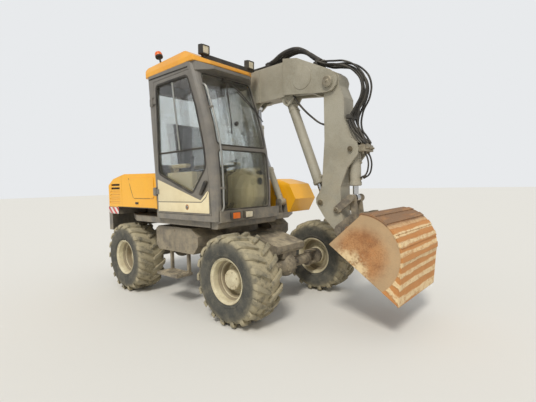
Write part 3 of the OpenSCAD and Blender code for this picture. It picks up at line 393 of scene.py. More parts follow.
LUGS, LUG_FOOT = 18, 0.5195
wall = [(0.504, 0.0), (0.503, 0.09), (0.5, 0.15), (0.49, 0.19), (0.468, 0.212), (0.44, 0.22), (0.4, 0.2245),
        (0.36, 0.222), (0.33, 0.215), (0.312, 0.209), (0.306, 0.213), (0.298, 0.211), (0.292, 0.203),
        (0.274, 0.1955), (0.256, 0.187), (0.249, 0.176)]
carcass = spun(wall + [(r, -y) for r, y in reversed(wall[1:])], 72)
lugs = []
for side in (1, -1):
    foot = (0, side * 0.004, LUG_FOOT)
    alone()
    bpy.ops.mesh.primitive_plane_add(size=1, location=foot, rotation=(radians(90), 0, 0))
    mode("EDIT")
    bpy.ops.transform.resize(value=(0.05, 1, 0.0406), center_override=foot)
    # out along the lug: step along Y, turn round the wheel, growth in width, drop
    for step, angle, wider, drop in ((0.075, 4.0, 1.14, 0.0), (0.07, 4.3, 1.12, -0.001), (0.045, 2.6, 1.06, -0.006),
                                     (0.022, 1.2, 0.98, -0.016), (0.008, 0.6, 0.9, -0.028)):
        pull((0, side * step, drop))
        roll_on(angle)
        bpy.ops.transform.resize(value=(wider, 1, 1))
    bar = eased(made_solid(), 0.006, 1)
    alone(bar)
    mode("EDIT")
    take_all()
    if side > 0:
        roll_on(180 / LUGS)
    for _ in range(LUGS - 1):
        bpy.ops.mesh.duplicate()
        roll_on(360 / LUGS)
    mode("OBJECT")
    lugs.append(bar)
tyre = smoothed(applied(joined([carcass] + lugs)))
mark(tyre, "tread", tread_clay)

rubber, place, facing = material("dusty_rubber")
clay = node(rubber.node_tree, "Attribute", {"attribute_name": "tread"}).out("Fac")
smears = noise(place, 9.0, 6.0, 0.7)
tone = placed(mottle, place, Tone=(74, 74, 70), Other=(96, 94, 86), Broad=5.0, Share=0.8)
tone = mixed((clay * (smears.ramp(0.3, 0.62) + 0.3)).clamped(), tone, (180, 169, 140))
tone = mixed(smears.ramp(0.45, 0.75) * 0.5, tone, (132, 126, 108))
worn = placed(edges, place, Radius=0.006, Amount=0.5)
relief = bumped(placed(grain, place, Fine=95.0, Waves=0.6), 0.5, 0.003, Normal=worn.out("Normal"))
coated(rubber, Base_Color=mixed(worn, tone, (112, 108, 98)), Normal=relief, Roughness=0.85, Specular_IOR_Level=0.25)
axles = {}
for name in ("front_right", "rear_right", "front_left", "rear_left"):
    low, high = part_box("tyre_" + name)
    axles[name] = (low + high) / 2
    twin = tyre.copy()
    twin.data = tyre.data.copy()
    bpy.context.scene.collection.objects.link(twin)
    twin.location = axles[name]
    fixed(twin, "lugged_tyre_" + name, rubber, "wheel_" + name)
    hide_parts("tyre_" + name)
bpy.data.objects.remove(tyre)

# Wheels: pressed steel rims with rolled flanges, a deep dish welded in, and the hub's planetary drum bolted
# through it. Cream paint, chipped and caked with dust, with painted shade in the dish's corners; the front drums stand
# further out.
rim_paint = finish("rim_paint", (224, 216, 184), (188, 176, 144), broad=7.0, share=0.7, dusty=0.5, low=0.9, wear=0.9,
                   bare=(120, 92, 62), rough=0.6, fine=70.0, bump=0.35)
colour = rim_paint.node_tree.nodes["Principled BSDF"].inputs["Base Color"]
# painted shade with some soil: the dish's corners and the foot of a front drum are darkened to dark brown
rings = node(rim_paint.node_tree, "Attribute", {"attribute_name": "dish_shade_and_soil"}).out("Fac")
put(colour, mixed(rings * 0.72, Signal(colour.links[0].from_socket), (118, 104, 84)))
seat, half, disc = 0.248, 0.178, -0.03
lip = seat + 0.024
shape = [(seat - 0.001, -half), (lip, -half - 0.012), (lip + 0.001, -half - 0.022), (lip - 0.006, -half - 0.026),
         (seat - 0.002, -half - 0.012), (seat - 0.01, -half), (seat - 0.01, -0.09), (0.205, -0.06),
         (0.205, disc - 0.016), (0.115, disc - 0.016), (0.115, disc), (0.155, disc), (0.162, disc - 0.006),
         (0.19, disc - 0.006), (0.198, disc + 0.002), (0.2045, disc + 0.02), (0.205, 0.05), (0.209, 0.062),
         (0.222, 0.076), (0.224, 0.094), (0.2365, 0.104), (0.238, 0.118), (0.2385, half - 0.012),
         (0.245, half + 0.006), (0.262, half + 0.012), (lip - 0.004, half + 0.026), (lip + 0.002, half + 0.022),
         (lip, half + 0.012), (seat - 0.001, half - 0.002), (seat - 0.001, 0.082), (0.214, 0.052), (0.214, -0.062),
         (seat - 0.001, -0.092)]
for name, centre in axles.items():
    front = name.startswith("front")
    stand, wide = (0.15, 0.022) if front else (0.07, 0.0)
    out = -1 if centre.y < 0 else 1
    drum = [(0.0, stand), (0.05 + wide, stand), (0.055 + wide, stand - 0.006), (0.088 + wide, stand - 0.008),
            (0.098 + wide, stand - 0.02), (0.1 + wide, stand * 0.62), (0.112 + wide * 0.6, stand * 0.55),
            (0.122 + wide * 0.3, stand * 0.5), (0.129, stand * 0.4), (0.1295, 0.012), (0.135, 0.01), (0.15, 0.01),
            (0.152, -0.002), (0.15, -0.02), (0.125, -0.022), (0.125, -0.0945), (0.0625, -0.0945),
            (0.0625, -0.0145), (0.0, -0.0145)]
    parts = [spun([(r, out * y) for r, y in shape], 72),
             spun([(r, out * (disc + y)) for r, y in drum], 48, closed=False)]
    for circle, count, across, y in ((0.142, 10, 0.013, 0.014), (0.075 + wide, 6, 0.008, stand - 0.004)):
        for i in range(count):
            a = 2 * pi * i / count + 0.2
            alone()
            bpy.ops.mesh.primitive_cylinder_add(
                vertices=6, radius=across, depth=0.016, rotation=(radians(90), 0, 0),
                location=(circle * sin(a), out * (disc + y), circle * cos(a)))
            parts.append(bpy.context.object)
    whole = eased(joined(parts), 0.0025)

    def dish_shade_and_soil(reach, along):
        """Painted shade, with some soil in it, in the dish's corners and round the foot of a front drum."""
        dish = 0.199 < reach < 0.2155 or 0.2215 < reach < 0.2375
        foot = front and 0.1165 < reach < 0.131 and disc - 0.01 < out * along < disc + 0.02
        return float((dish or foot) and out * along < half - 0.01)

    mark(whole, "dish_shade_and_soil", dish_shade_and_soil)
    whole.location = centre
    fixed(whole, "dished_wheel_" + name, rim_paint, "wheel_" + name)
    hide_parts("wheel_" + name)

# Chassis fittings: chequered treads welded on the steps, bolt heads on the side boxes and round the differentials.
# All of it is under the same dust.
mid = (axles["front_right"].x + axles["rear_right"].x) / 2


def at(x, y, z):
    """A place measured from the middle between the axles."""
    return Vector((x + mid, y, z))


def on_side(corners, y):
    """Places of (x, z) corners on an upright plane along the machine."""
    return [at(x, y, z) for x, z in corners]


def softened(corners, radius, steps=4):
    """Rounds the corners of a flat outline."""
    corners = [Vector(c) for c in corners]
    path = []
    for a, b, c in zip(corners[-1:] + corners, corners, corners[1:] + corners[:1]):
        u, v = a - b, c - b
        reach = min(radius, u.length / 2.05, v.length / 2.05)
        u, v = b + u.normalized() * reach, b + v.normalized() * reach
        path += [u.lerp(b, k / steps).lerp(b.lerp(v, k / steps), k / steps) for k in range(steps + 1)]
    return path


def slab(corners, depth, radius=0.0, hollow=0.0):
    """A plate cut to an outline and given its depth; hollow leaves only a frame of that width."""
    line(softened(corners, radius) if radius else corners)
    bpy.ops.mesh.edge_face_add()
    if hollow:
        bpy.ops.mesh.inset(thickness=hollow)
        bpy.ops.mesh.delete(type="FACE")
        take_all()
    pull(depth)
    return made_solid()


def plate(corners, y, depth, *edge):
    """A slab that stands along the machine, from its (x, z) corners."""
    return slab(on_side(corners, y), (0, depth, 0), *edge)


def tube(points, radius, closed=False, flowing=False):
    """A bar, bead or hose along a line of points."""
    line(list(points) + list(points[:1]) * closed)
    bpy.ops.mesh.remove_doubles(threshold=0.0001)
    mode("OBJECT")
    bpy.ops.object.convert(target="CURVE")
    run = bpy.context.object
    if flowing:
        mode("EDIT")
        bpy.ops.curve.select_all(action="SELECT")
        bpy.ops.curve.spline_type_set(type="BEZIER")
        bpy.ops.curve.handle_type_set(type="AUTOMATIC")
        mode("OBJECT")
        run.data.resolution_u = 6
    run.data.bevel_depth = radius
    run.data.bevel_resolution = 3
    run.data.use_fill_caps = True
    bpy.ops.object.convert(target="MESH")
    return smoothed(bpy.context.object, 50)


def block(low, high, width=0.004, segments=2):
    """A cut or cast block between two corners with its edges broken."""
    alone()
    bpy.ops.mesh.primitive_cube_add(size=1, location=(low + high) / 2, scale=high - low)
    return eased(applied(bpy.context.object), width, segments)


def aimed(piece, place, facing):
    """Moves a part's origin to place and turns its Y axis along facing."""
    piece.rotation_mode = "QUATERNION"
    piece.rotation_quaternion = Vector((0, 1, 0)).rotation_difference(Vector(facing))
    piece.location = place
    return applied(piece)


AXIS = 0.0001


def round_part(profile, place, facing=(0, 1, 0), steps=32):
    """A turned part that starts at place and points along facing; profile is (radius, way along)."""
    if profile[0][0] > AXIS:
        profile = [(AXIS, profile[0][1])] + profile
    return smoothed(aimed(spun(profile, steps, closed=False), place, facing))


def bolt(place, facing, across=0.012):
    """A hexagon head on its washer."""
    washer = [(across, 0.004), (across * 1.15, 0.002), (across * 1.15, 0)]
    head = [(across * 0.8, across), (across * 0.95, across * 0.8), (across * 0.95, 0.003)]
    return joined([round_part(washer, place, facing, 16), round_part(head, place, facing, 6)])


treads = []
for out in (1, -1):
    for k in range(5):
        treads.append(tube(on_side([(-0.21, 0.4575), (0.21, 0.4575)], out * (0.875 + 0.052 * k)), 0.007))
    for x, z in ((-0.43, 1.0), (-0.43, 0.84), (0.46, 0.9), (0.0, 1.04), (-0.2, 0.78), (0.25, 0.78)):
        treads.append(bolt(at(x, out * 0.9595, z), (0, out, 0), 0.011))
for side in (1, -1):
    for k in range(12):
        y, z = 0.105 * cos(radians(30 * k)), 0.105 * sin(radians(30 * k))
        treads.append(bolt(at(side * 1.331, y, axles["front_right"].z + z), (side, 0, 0), 0.009))
fixed(treads, "step_treads_and_bolts", frame_paint, "chassis")

# Upper structure: the steel deck with its brackets and bulkhead, and the cast counterweight with skirts behind
# the rear tyres, all in satin grey; the hood and side cover are moulded panels in warm yellow.
grey_paint = finish("grey_paint", (112, 108, 102), (92, 88, 82), dusty=0.45, low=1.5, bare=(150, 140, 124), coat=0.1)
yellow_paint = finish("yellow_paint", (252, 184, 22), (240, 166, 12), broad=1.6, share=0.5, dusty=0.1, low=1.4,
                      wear=0.25, bare=(214, 170, 96), dust_tone=(214, 190, 140), rough=0.38, fine=240.0, bump=0.05,
                      coat=0.35, edge=0.012)
black_rubber = finish("black_rubber", (34, 34, 34), (50, 48, 46), dusty=0.25, low=1.6, wear=0.0, rough=0.7,
                      fine=160.0, bump=0.2, deep=0.0008)
dress(grey_paint, "platform", "counterweight")
dress(yellow_paint, "hood", "side_cover")
dress(finish("engine_block", (58, 58, 56), (84, 78, 66), dusty=0.6, low=3.0, rough=0.6, fine=40.0, bump=0.6), "engine")

# Hood trims: black sheets behind the open slots as painted shade, louvre blades in the lower four, rubber along the
# bottom edge, latches, and a plate of red and white reflecting sheet riveted on each rear corner of the skirts.


def round_tail(radius, y0, y1):
    """Points along the tail's circle about the slew axis, from one side place to another, seen from above."""
    a0, a1 = (pi - asin(y / radius) for y in (y0, y1))
    return [(radius * cos(a0 + (a1 - a0) * k / 8), radius * sin(a0 + (a1 - a0) * k / 8)) for k in range(9)]


def rolled_sheet(bend, z, high):
    """A thin sheet that stands on a line seen from above."""
    line([at(x, y, z) for x, y in bend])
    pull((0, 0, high))
    mode("OBJECT")
    return modified(bpy.context.object, "SOLIDIFY", thickness=0.002, offset=0.0)


sheet, place, facing = material("striped_sheet")
ways = node(sheet.node_tree, "SeparateXYZ", Vector=place)
slant = ways.out(0) * 0.9 + (ways.out(2) + ways.out(1).by("ABSOLUTE"))
stripe = ((slant * 7.5).by("FRACT") - 0.5).by("ABSOLUTE").ramp(0.235, 0.255)
soiled = placed(dust, place, Facing=facing, Amount=0.3, Low=1.4)
cells = node(sheet.node_tree, "TexVoronoi", Vector=place, Scale=260.0)
coated(sheet, Base_Color=mixed(soiled, mixed(stripe, (206, 28, 34), (236, 232, 226)), ROAD_DUST),
       Normal=bumped(cells, 0.3, 0.0006), Roughness=0.32)
SKIRT_Y, SLOT_FOOT, SLOT_PITCH = 1.0325, 1.395, 0.058
plates, trims, blades, seams, latches = [], [], [], [], []
# painted shade: plain black sheets behind the tail's slots and the upper side slots stand for the dark inside of the
# hood
slot_shade_sheets = [rolled_sheet(round_tail(2.06, 0.46, -0.46), 1.372, 0.166)]
for out in (1, -1):
    bend = [(-1.48, out * SKIRT_Y)] + round_tail(2.1025, out * SKIRT_Y, out * 0.7)
    plates.append(rolled_sheet(bend, 1.222, 0.106))
    trims.append(tube(on_side([(-1.5, 1.338), (-0.36, 1.338)], out * 1.033), 0.006))
    for place in on_side([(x, z) for x in (-1.5, -1.8) for z in (1.236, 1.314)], out * 1.0335):
        trims.append(round_part([(AXIS, 0.004), (0.005, 0.003), (0.007, 0)], place, (0, out, 0), 12))
    slot_shade_sheets.append(block(at(-1.746, out * 1.0045 - 0.0008, 1.62), at(-1.412, out * 1.0045 + 0.0008, 1.726)))
    for i in range(4):
        low, high = SLOT_FOOT + i * SLOT_PITCH + 0.0005, SLOT_FOOT + i * SLOT_PITCH + 0.0315
        blade = [(-1.789 + 0.012 * i, low), (-1.4205, low), (-1.4205, high), (-1.779 + 0.012 * i, high)]
        blades.append(plate(blade, out * 1.0215, out * 0.003))
    edge = [(-1.112, 1.8), (-1.062, 1.64), (-0.99, 1.505), (-0.962, 1.484), (-0.93, 1.4835), (-0.5, 1.4835)]
    seams.append(tube(on_side(edge, out * 1.0305), 0.0035))
    button = [(0.009, 0.01), (0.012, 0.006), (0.012, 0.0)]
    latches += [block(at(-0.92, out * 1.031, 1.392), at(-0.83, out * 1.038, 1.424), 0.003),
                round_part(button, at(-0.875, out * 1.037, 1.408), (0, out, 0), 24)]
fixed(eased(joined(plates), 0.0006, 1), "striped_plates", sheet, "upper")
fixed(trims, "hood_seal_and_rivets", black_rubber, "upper")
fixed(slot_shade_sheets, "hood_slot_shade_sheets", black_rubber, "hood")
fixed(blades, "hood_louvre_blades", yellow_paint, "hood")
fixed(seams, "hood_panel_seams", black_rubber, "hood")
fixed(latches, "hood_latches", black_rubber, "hood")

# Cab: a welded grey frame round tinted panes, with a door hung on its rear edge and a moulded orange-yellow roof.
cab_paint = finish("cab_paint", (116, 112, 106), (98, 94, 88), dusty=0.3, low=1.7, wear=0.4, bare=(148, 140, 126),
                   rough=0.42, coat=0.25, edge=0.008)
roof_paint = finish("roof_paint", (244, 172, 30), (226, 148, 26), broad=1.8, dusty=0.5, low=2.4, wear=0.3,
                    bare=(220, 176, 96), dust_tone=(206, 178, 124), rough=0.42, fine=200.0, bump=0.06, coat=0.3,
                    edge=0.02)
dress(cab_paint, "cab_shell", "door")
dress(roof_paint, "cab_roof")
glazing, place, facing = material("tinted_glass")
film = noise(place, 3.0, 8.0, 0.7)
rough = node(place.tree, "MapRange", Value=film, From_Min=0.4, From_Max=0.8, To_Min=0.02, To_Max=0.12)
coated(glazing, Base_Color=mixed(film.ramp(0.35, 0.8), (222, 232, 230), (200, 198, 186)), Roughness=rough,
       Transmission_Weight=1.0, IOR=1.3, Specular_IOR_Level=0.7, Alpha=0.5)
dress(glazing, "cab_glass", "door_glass")

# Door trims: a rubber seal round the pane, two cream sheets on the lower half with a pressed groove between
# them, a pull handle, the sliding panes' rail and divider, and a lock. The lower sheets are bare.
SHEET_Y, RAIL_Y = -1.0945, -1.062
cream_paint = finish("cream_sheet", (240, 226, 186), (228, 210, 166), broad=3.0, share=0.5, low=1.5, wear=0.3,
                     bare=(196, 170, 122), rough=0.4, fine=220.0, bump=0.05, coat=0.3, edge=0.006,
                     dust_tone=(206, 188, 146))
lock_steel = finish("lock_steel", (170, 168, 160), (120, 116, 108), dusty=0.2, wear=0.0, metal=0.9, rough=0.3)
washer_rust = finish("rusty_washer", (196, 130, 66), (150, 92, 46), broad=24.0, dusty=0.2, wear=0.4, rough=0.8)
alloy = finish("dull_alloy", (176, 176, 170), (150, 150, 146), dusty=0.25, low=1.5, wear=0.0, rough=0.35, metal=0.8,
               bump=0.1, fine=90.0)
seal = [(-0.147, 1.824), (0.612, 1.541), (0.899, 1.868), (0.88, 2.066), (0.827, 2.313), (0.736, 2.648),
        (0.583, 3.048), (-0.147, 3.053)]
fixed(eased(plate(seal, -1.0895, 0.016, 0.07, 0.026), 0.003), "door_pane_seal", black_rubber, "door")
sheets = [[(-0.166, 1.449), (0.788, 1.456), (0.876, 1.517), (0.928, 1.592), (0.905, 1.584), (0.775, 1.475),
           (-0.166, 1.756)],
          [(-0.166, 1.316), (0.938, 1.316), (0.934, 1.586), (0.882, 1.506), (0.792, 1.446), (-0.166, 1.439)]]
pressed = [eased(plate(corners, SHEET_Y, 0.0035, 0.012), 0.0016) for corners in sheets]
fixed(pressed, "door_sheets", cream_paint, "door")
handle = [(0.765, 1.548), (0.8, 1.53), (0.922, 1.69), (0.908, 1.716), (0.876, 1.712)]
fixed(eased(plate(handle, -1.118, 0.03, 0.02), 0.009, 3), "door_pull", black_rubber, "door")
lock_place = at(0.5, SHEET_Y, 1.385)
stain = round_part([(0.033, 0.0016), (0.035, 0)], lock_place, (0, -1, 0))
fixed(stain, "door_lock_washer", washer_rust, "door")
lock = [round_part([(0.014, 0.012), (0.021, 0.008), (0.024, 0.0012)], lock_place, (0, -1, 0)),
        block(at(0.4975, -1.1075, 1.378), at(0.5025, -1.106, 1.392), 0.0005)]
fixed(lock, "door_lock", lock_steel, "door")
rails = [tube(on_side([(-0.118, 2.109), (0.842, 2.114)], RAIL_Y), 0.013),
         tube(on_side([(-0.118, 3.024), (0.56, 3.022)], RAIL_Y), 0.01)]
fixed(rails, "door_pane_rails", black_rubber, "door")
divider = [(0.212, 3.02), (0.236, 3.02), (0.356, 2.122), (0.332, 2.122)]
divider = [plate(divider, -1.073, 0.012), block(at(0.3, -1.077, 2.3), at(0.335, -1.066, 2.36))]
fixed(eased(joined(divider), 0.002), "door_pane_divider", alloy, "door")
leaves = []
for z in (1.585, 2.83):
    leaves.append(block(at(-0.3, -1.092, z - 0.052), at(-0.232, -1.0845, z + 0.052), 0.006))
    leaves += [bolt(at(-0.268, -1.092, z + k), (0, -1, 0), 0.008) for k in (-0.03, 0.03)]
fixed(leaves, "door_hinge_leaves", cab_paint, "upper")

# Windscreen and cab trims: rubber seals round the curved panes, a light grab tube clamped beside the windscreen,
# two wiper arms that hang from the header, and rubber drip strips over the doors.
CAB_FOOT, CAB_RISE = 1.215, 1.98


def bulge(z, off=0.0):
    """The cab's front by height, in metres forward of the middle between the axles, and a little off it."""
    steps = [(1.215, 0.03), (1.6, 0.0), (1.85, 0.035), (2.11, 0.11), (2.4, 0.28), (2.7, 0.54), (3.195, 1.0)]
    for (z0, a), (z1, b) in zip(steps, steps[1:]):
        if z <= z1:
            return 1.04 - 0.37 * (a + (b - a) * (z - z0) / (z1 - z0)) + off


def cab_left(z):
    return -0.028 - 0.01 * (z - CAB_FOOT) / CAB_RISE


def cab_rear(z):
    return -0.262 - 0.126 * (z - CAB_FOOT) / CAB_RISE


def pane_edge(corners):
    """The rounded edge of a pane from its (y, z) corners."""
    return softened([Vector((0, y, z)) for y, z in corners], 0.06, 5)


seals = []
for low, high in ((1.355, 2.085), (2.145, 3.05)):
    path = pane_edge([(-0.985, low), (cab_left(low) - 0.095, low), (cab_left(high) - 0.095, high), (-0.985, high)])
    dense = [a.lerp(b, k / 5) for a, b in zip(path, path[1:] + path[:1])
             for k in range(5 if (a - b).length > 0.2 else 1)]
    seals.append(tube([at(bulge(p.z, -0.002), p.y, p.z) for p in dense], 0.01, closed=True))
path = pane_edge([(-0.985, 1.96), (-0.125, 1.96), (-0.132, 3.0), (-0.985, 3.0)])
seals += [tube([at(cab_rear(p.z), p.y, p.z) for p in path], 0.01, closed=True),
          tube(on_side([(-0.3, 3.15), (0.15, 3.142), (0.585, 3.132)], -1.088), 0.007)]
fixed(seals, "cab_seals_and_drip_strips", black_rubber, "upper")

grab = [(2.9, 0.004, -1.0, 2.905), (2.88, 0.035, -0.995, 2.88)]
grab += [(z, 0.04, y, z) for y, z in ((-0.985, 2.75), (-0.978, 2.606), (-0.975, 2.35), (-0.975, 2.1), (-0.98, 1.8),
                                       (-0.985, 1.5))]
grab += [(1.36, 0.036, -0.99, 1.36), (1.33, 0.004, -0.995, 1.335)]
fixed(tube([at(bulge(on, off), y, z) for on, off, y, z in grab], 0.012, flowing=True), "windscreen_grab_tube", alloy,
      "upper")
clamps = []
for z in (2.606, 1.62):
    clamps += [block(at(bulge(z, -0.004), -0.996, z - 0.014), at(bulge(z, 0.055), -0.962, z + 0.014)),
               bolt(at(bulge(z, 0.054), -0.979, z), (1, 0, 0), 0.009)]
fixed(clamps, "grab_tube_clamps", cab_paint, "upper")

wipers = []
for run in ([(-0.611, 3.03), (-0.4, 2.9), (-0.119, 2.634)], [(-0.608, 3.0), (-0.635, 2.84), (-0.651, 2.68)]):
    arm = [at(bulge(z, off), y, z) for (y, z), off in zip(run, (0.03, 0.034, 0.016))]
    wipers.append(tube(arm, 0.008, flowing=True))
for run in ([(-0.43, 2.905), (-0.3, 2.79), (-0.16, 2.66), (-0.06, 2.53)],
            [(-0.63, 2.86), (-0.655, 2.68), (-0.69, 2.45), (-0.72, 2.3)]):
    wipers.append(tube([at(bulge(z, 0.012), y, z) for y, z in run], 0.007, flowing=True))
motor = [(0.022, 0.05), (0.03, 0.04), (0.03, -0.01)]
boss = [(AXIS, 0.02), (0.024, 0.018), (0.028, 0.01), (0.028, -0.01)]
wipers += [round_part(motor, at(bulge(3.03, -0.006), -0.61, 3.015), (1, 0, 0.35)),
           round_part(boss, at(bulge(2.42), -0.6, 2.44), (1, 0, 0.3))]
fixed(wipers, "windscreen_wipers", black_rubber, "upper")

# Lamps: two square work lamps on the roof with pale lenses in black cases, an indicator and a road lamp on the front
# beam, and the beacon, an amber dome on a black stem that leans back.
black_plastic = finish("black_plastic", (40, 40, 40), (56, 54, 50), dusty=0.25, low=1.9, wear=0.2, bare=(90, 88, 84),
                       rough=0.55, fine=300.0, bump=0.2, deep=0.0008)
amber = finish("amber_lens", (240, 110, 16), (222, 92, 12), dusty=0.25, low=3.4, wear=0.0, rough=0.18, coat=0.6,
               bump=0.1, fine=40.0, dust_tone=(232, 150, 70))
lens = finish("lamp_lens", (232, 222, 196), (206, 190, 150), broad=30.0, dusty=0.2, low=3.0, wear=0.0, rough=0.12,
              coat=0.8, bump=0.4, fine=60.0, deep=0.004)
dress(black_plastic, "work_lamps")
dress(amber, "beacon")


def face(x0, x1, y, half, z0, z1):
    """The corners of a lamp's upright face, which may lean from x0 at the foot to x1 at the head."""
    return [at(x0, y - half, z0), at(x0, y + half, z0), at(x1, y + half, z1), at(x1, y - half, z1)]


fronts, cases = [], []
for y in (-0.91, cab_left(3.195) - 0.06):
    fronts.append(eased(slab(face(0.7344, 0.7376, y, 0.047, 3.3, 3.392), (0.007, 0, 0), 0.012), 0.003))
    cases.append(eased(slab(face(0.7342, 0.7378, y, 0.058, 3.29, 3.402), (0.013, 0, 0), 0.014, 0.011), 0.002))
    for k in range(4):
        cases.append(block(at(0.652, y - 0.05, 3.305 + 0.025 * k), at(0.668, y + 0.05, 3.315 + 0.025 * k), 0.002))
    cases += [bolt(at(0.7, y + side * 0.06, 3.3), (0, side, 0), 0.009) for side in (-1, 1)]
fixed(fronts, "work_lamp_lenses", lens, "upper")
fixed(cases, "work_lamp_cases", black_plastic, "upper")
rims = []
for y, rise, name, glass, slot in ((-0.808, 0.01, "indicator_lens", amber, "amber"),
                                   (-0.588, 0.012, "road_lamp_lens", lens, "glass")):
    rims.append(eased(slab(face(1.1015, 1.1015, y, 0.067, 1.237, 1.323), (0.012, 0, 0), 0.012, 0.006), 0.0015))
    lamp = slab(face(1.1015, 1.1015, y, 0.063, 1.243, 1.318), (rise, 0, 0), 0.01)
    fixed(eased(lamp, 0.004, 3), name, glass, "upper")
fixed(rims, "front_lamp_rims", black_plastic, "upper")
lean = (-sin(radians(22)), 0, cos(radians(22)))
foot = at(-0.13, -0.99, 3.353)
stem = [round_part([(0.02, 0.012), (0.026, 0.006), (0.026, -0.006), (AXIS, -0.006)], foot, (0, 0, 1)),
        round_part([(0.016, 0.0), (0.014, 0.02), (0.013, 0.085), (0.02, 0.095), (0.022, 0.104), (0.05, 0.11),
                    (0.0525, 0.116), (0.0525, 0.13), (0.048, 0.134), (AXIS, 0.134)], foot, lean)]
fixed(stem, "beacon_stem", black_rubber, "upper")
dome = [(0.05, 0.133), (0.0515, 0.14), (0.05, 0.146), (0.0505, 0.152), (0.049, 0.158), (0.0495, 0.164),
        (0.047, 0.176), (0.042, 0.186), (0.033, 0.193), (0.02, 0.197), (AXIS, 0.198)]
dome = fixed(round_part(dome, foot, lean), "beacon_dome", amber, "upper")
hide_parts("beacon")

# Inside the cab: a suspension seat with crowned cushions of dark woven cloth on a moulded pan, two beige consoles
# with levers, switches and round air vents, pedals, and the steering wheel on its column.
beige_plastic = finish("beige_plastic", (216, 200, 158), (198, 180, 138), dusty=0.3, low=1.9, wear=0.2,
                       bare=(205, 190, 155), rough=0.6, fine=260.0, bump=0.2, deep=0.0008)
dress(black_plastic, "seat_base", "steering_column")
dress(beige_plastic, "consoles")
cloth, place, facing = material("woven_cloth")
weft, warp = (node(place.tree, "TexWave", {"bands_direction": way}, Vector=place, Scale=160.0,
                   Distortion=1.0).out("Fac") for way in ("Y", "DIAGONAL"))
weave = weft * warp
tone = placed(mottle, place, Tone=(58, 60, 62), Other=(78, 76, 72), Broad=6.0, Share=0.7)
coated(cloth, Base_Color=mixed(weave * 0.5, tone, (96, 94, 90)), Normal=bumped(weave, 0.6, 0.0012), Roughness=0.9,
       Sheen_Weight=0.35, Specular_IOR_Level=0.2)
SEAT_Y, SWELL, CHANNEL = -0.5915, 0.01, 0.02


def cushion(low, high, name, tilt=0.0, pivot=None):
    """A pad swollen by air pressure from a slightly smaller block, with its top crowned and two sewn channels."""
    pad = block(low, high, 0.035, 5)
    if tilt:
        alone(pad)
        mode("EDIT")
        take_all()
        bpy.ops.transform.rotate(value=-tilt, orient_axis="Y", center_override=pivot)
        mode("OBJECT")
    modified(pad, "REMESH", mode="VOXEL", voxel_size=0.011)
    alone(pad)
    still = [v.co.copy() for v in pad.data.vertices]
    swell = pad.modifiers.new("swell", "CLOTH")
    swell.settings.use_pressure = True
    swell.settings.uniform_pressure_force = 4.0
    swell.settings.effector_weights.gravity = 0
    for f in range(1, 21):
        bpy.context.scene.frame_set(f)
    bpy.ops.object.modifier_apply(modifier="swell")
    bpy.context.scene.frame_set(1)
    for v, start in zip(pad.data.vertices, still):
        moved = v.co - start
        if moved.length > SWELL:
            v.co = start + moved.normalized() * SWELL
    modified(pad, "SMOOTH", factor=0.5, iterations=4)
    for v in pad.data.vertices:
        for offset in (-0.105, 0.105):
            near = abs(v.co.y - SEAT_Y - offset)
            if near < CHANNEL:
                v.co -= v.normal * 0.006 * (1 - (near / CHANNEL) ** 2)
    alone(pad)
    bpy.ops.object.shade_smooth()
    fixed(pad, name, cloth, "upper")
    return pad


seat_pad = cushion(at(0.025, SEAT_Y - 0.222, 1.785), at(0.455, SEAT_Y + 0.222, 1.868), "seat_cushion")
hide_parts("seat")
cushion(at(-0.055, SEAT_Y - 0.215, 1.885), at(0.03, SEAT_Y + 0.215, 2.5), "seat_back_cushion",
        atan2(0.105, 0.7), at(-0.0125, SEAT_Y, 1.885))
back = [(-0.012, 1.862), (-0.03, 1.862), (-0.062, 1.9), (-0.156, 2.53), (-0.14, 2.55), (-0.12, 2.54)]
pan = [(-0.01, 1.7715), (0.462, 1.7715), (0.468, 1.785), (0.466, 1.8), (0.455, 1.789), (0.0, 1.786), (-0.012, 1.8)]
shell = [plate(back, SEAT_Y - 0.225, 0.45), plate(pan, SEAT_Y - 0.228, 0.456)]
fixed(eased(joined(shell), 0.006), "seat_shell", black_plastic, "upper")

# profile of a lever: boot, rod and grip
lever = [(0.03, 0.0), (0.032, 0.006), (0.024, 0.018), (0.026, 0.028), (0.018, 0.04), (0.02, 0.05), (0.01, 0.072),
         (0.009, 0.12), (0.018, 0.125), (0.024, 0.15), (0.025, 0.19), (0.021, 0.215), (AXIS, 0.222)]
controls = [round_part(lever, at(0.42, -0.935, 1.8405), (0.1, 0.03, 0.25)),
            round_part(lever, at(0.44, -0.215, 1.8405), (0.12, -0.03, 0.25))]
for k in range(4):
    for y, z, high in ((-0.96, 1.8405, 1.8475), (-0.21, 1.848, 1.857)):
        controls.append(block(at(0.1 + 0.05 * k, y, z), at(0.13 + 0.05 * k, y + 0.03, high), 0.002))
pedal = [(0.775, 1.2685), (0.79, 1.2685), (0.885, 1.42), (0.872, 1.428)]
controls += [eased(plate(pedal, y, 0.075), 0.003) for y in (-0.82, -0.7)]
for x, y, z, r in ((0.9, -0.15, 1.815, 0.034), (0.9302, -0.195, 1.7, 0.046)):
    vent = [(r * 0.75, 0.004), (r * 0.8, 0.012), (r, 0.014), (r * 1.08, 0.008), (r * 1.08, -0.03)]
    controls.append(round_part(vent, at(x, y, z), (1, 0, 0.05)))
    for k in range(-2, 3):
        bar = z + k * r * 0.3
        controls.append(block(at(x + 0.004, y - r * 0.7, bar - 0.002), at(x + 0.009, y + r * 0.7, bar + 0.002), 0.0005))
fixed(controls, "cab_controls_and_vents", black_plastic, "upper")
rest = [(0.0, 1.9), (0.3, 1.9), (0.335, 1.925), (0.325, 1.955), (0.0, 1.95), (-0.02, 1.925)]
rests = []
for y, y0, y1, z in ((-0.26, -0.245, -0.19, 1.8455), (-0.965, -0.95, -0.895, 1.8405)):
    rests += [eased(plate(rest, y, 0.085), 0.014, 3),
              block(at(0.02, y0, z), at(0.07, y1, 1.905), 0.006)]
fixed(rests, "armrests", beige_plastic, "upper")

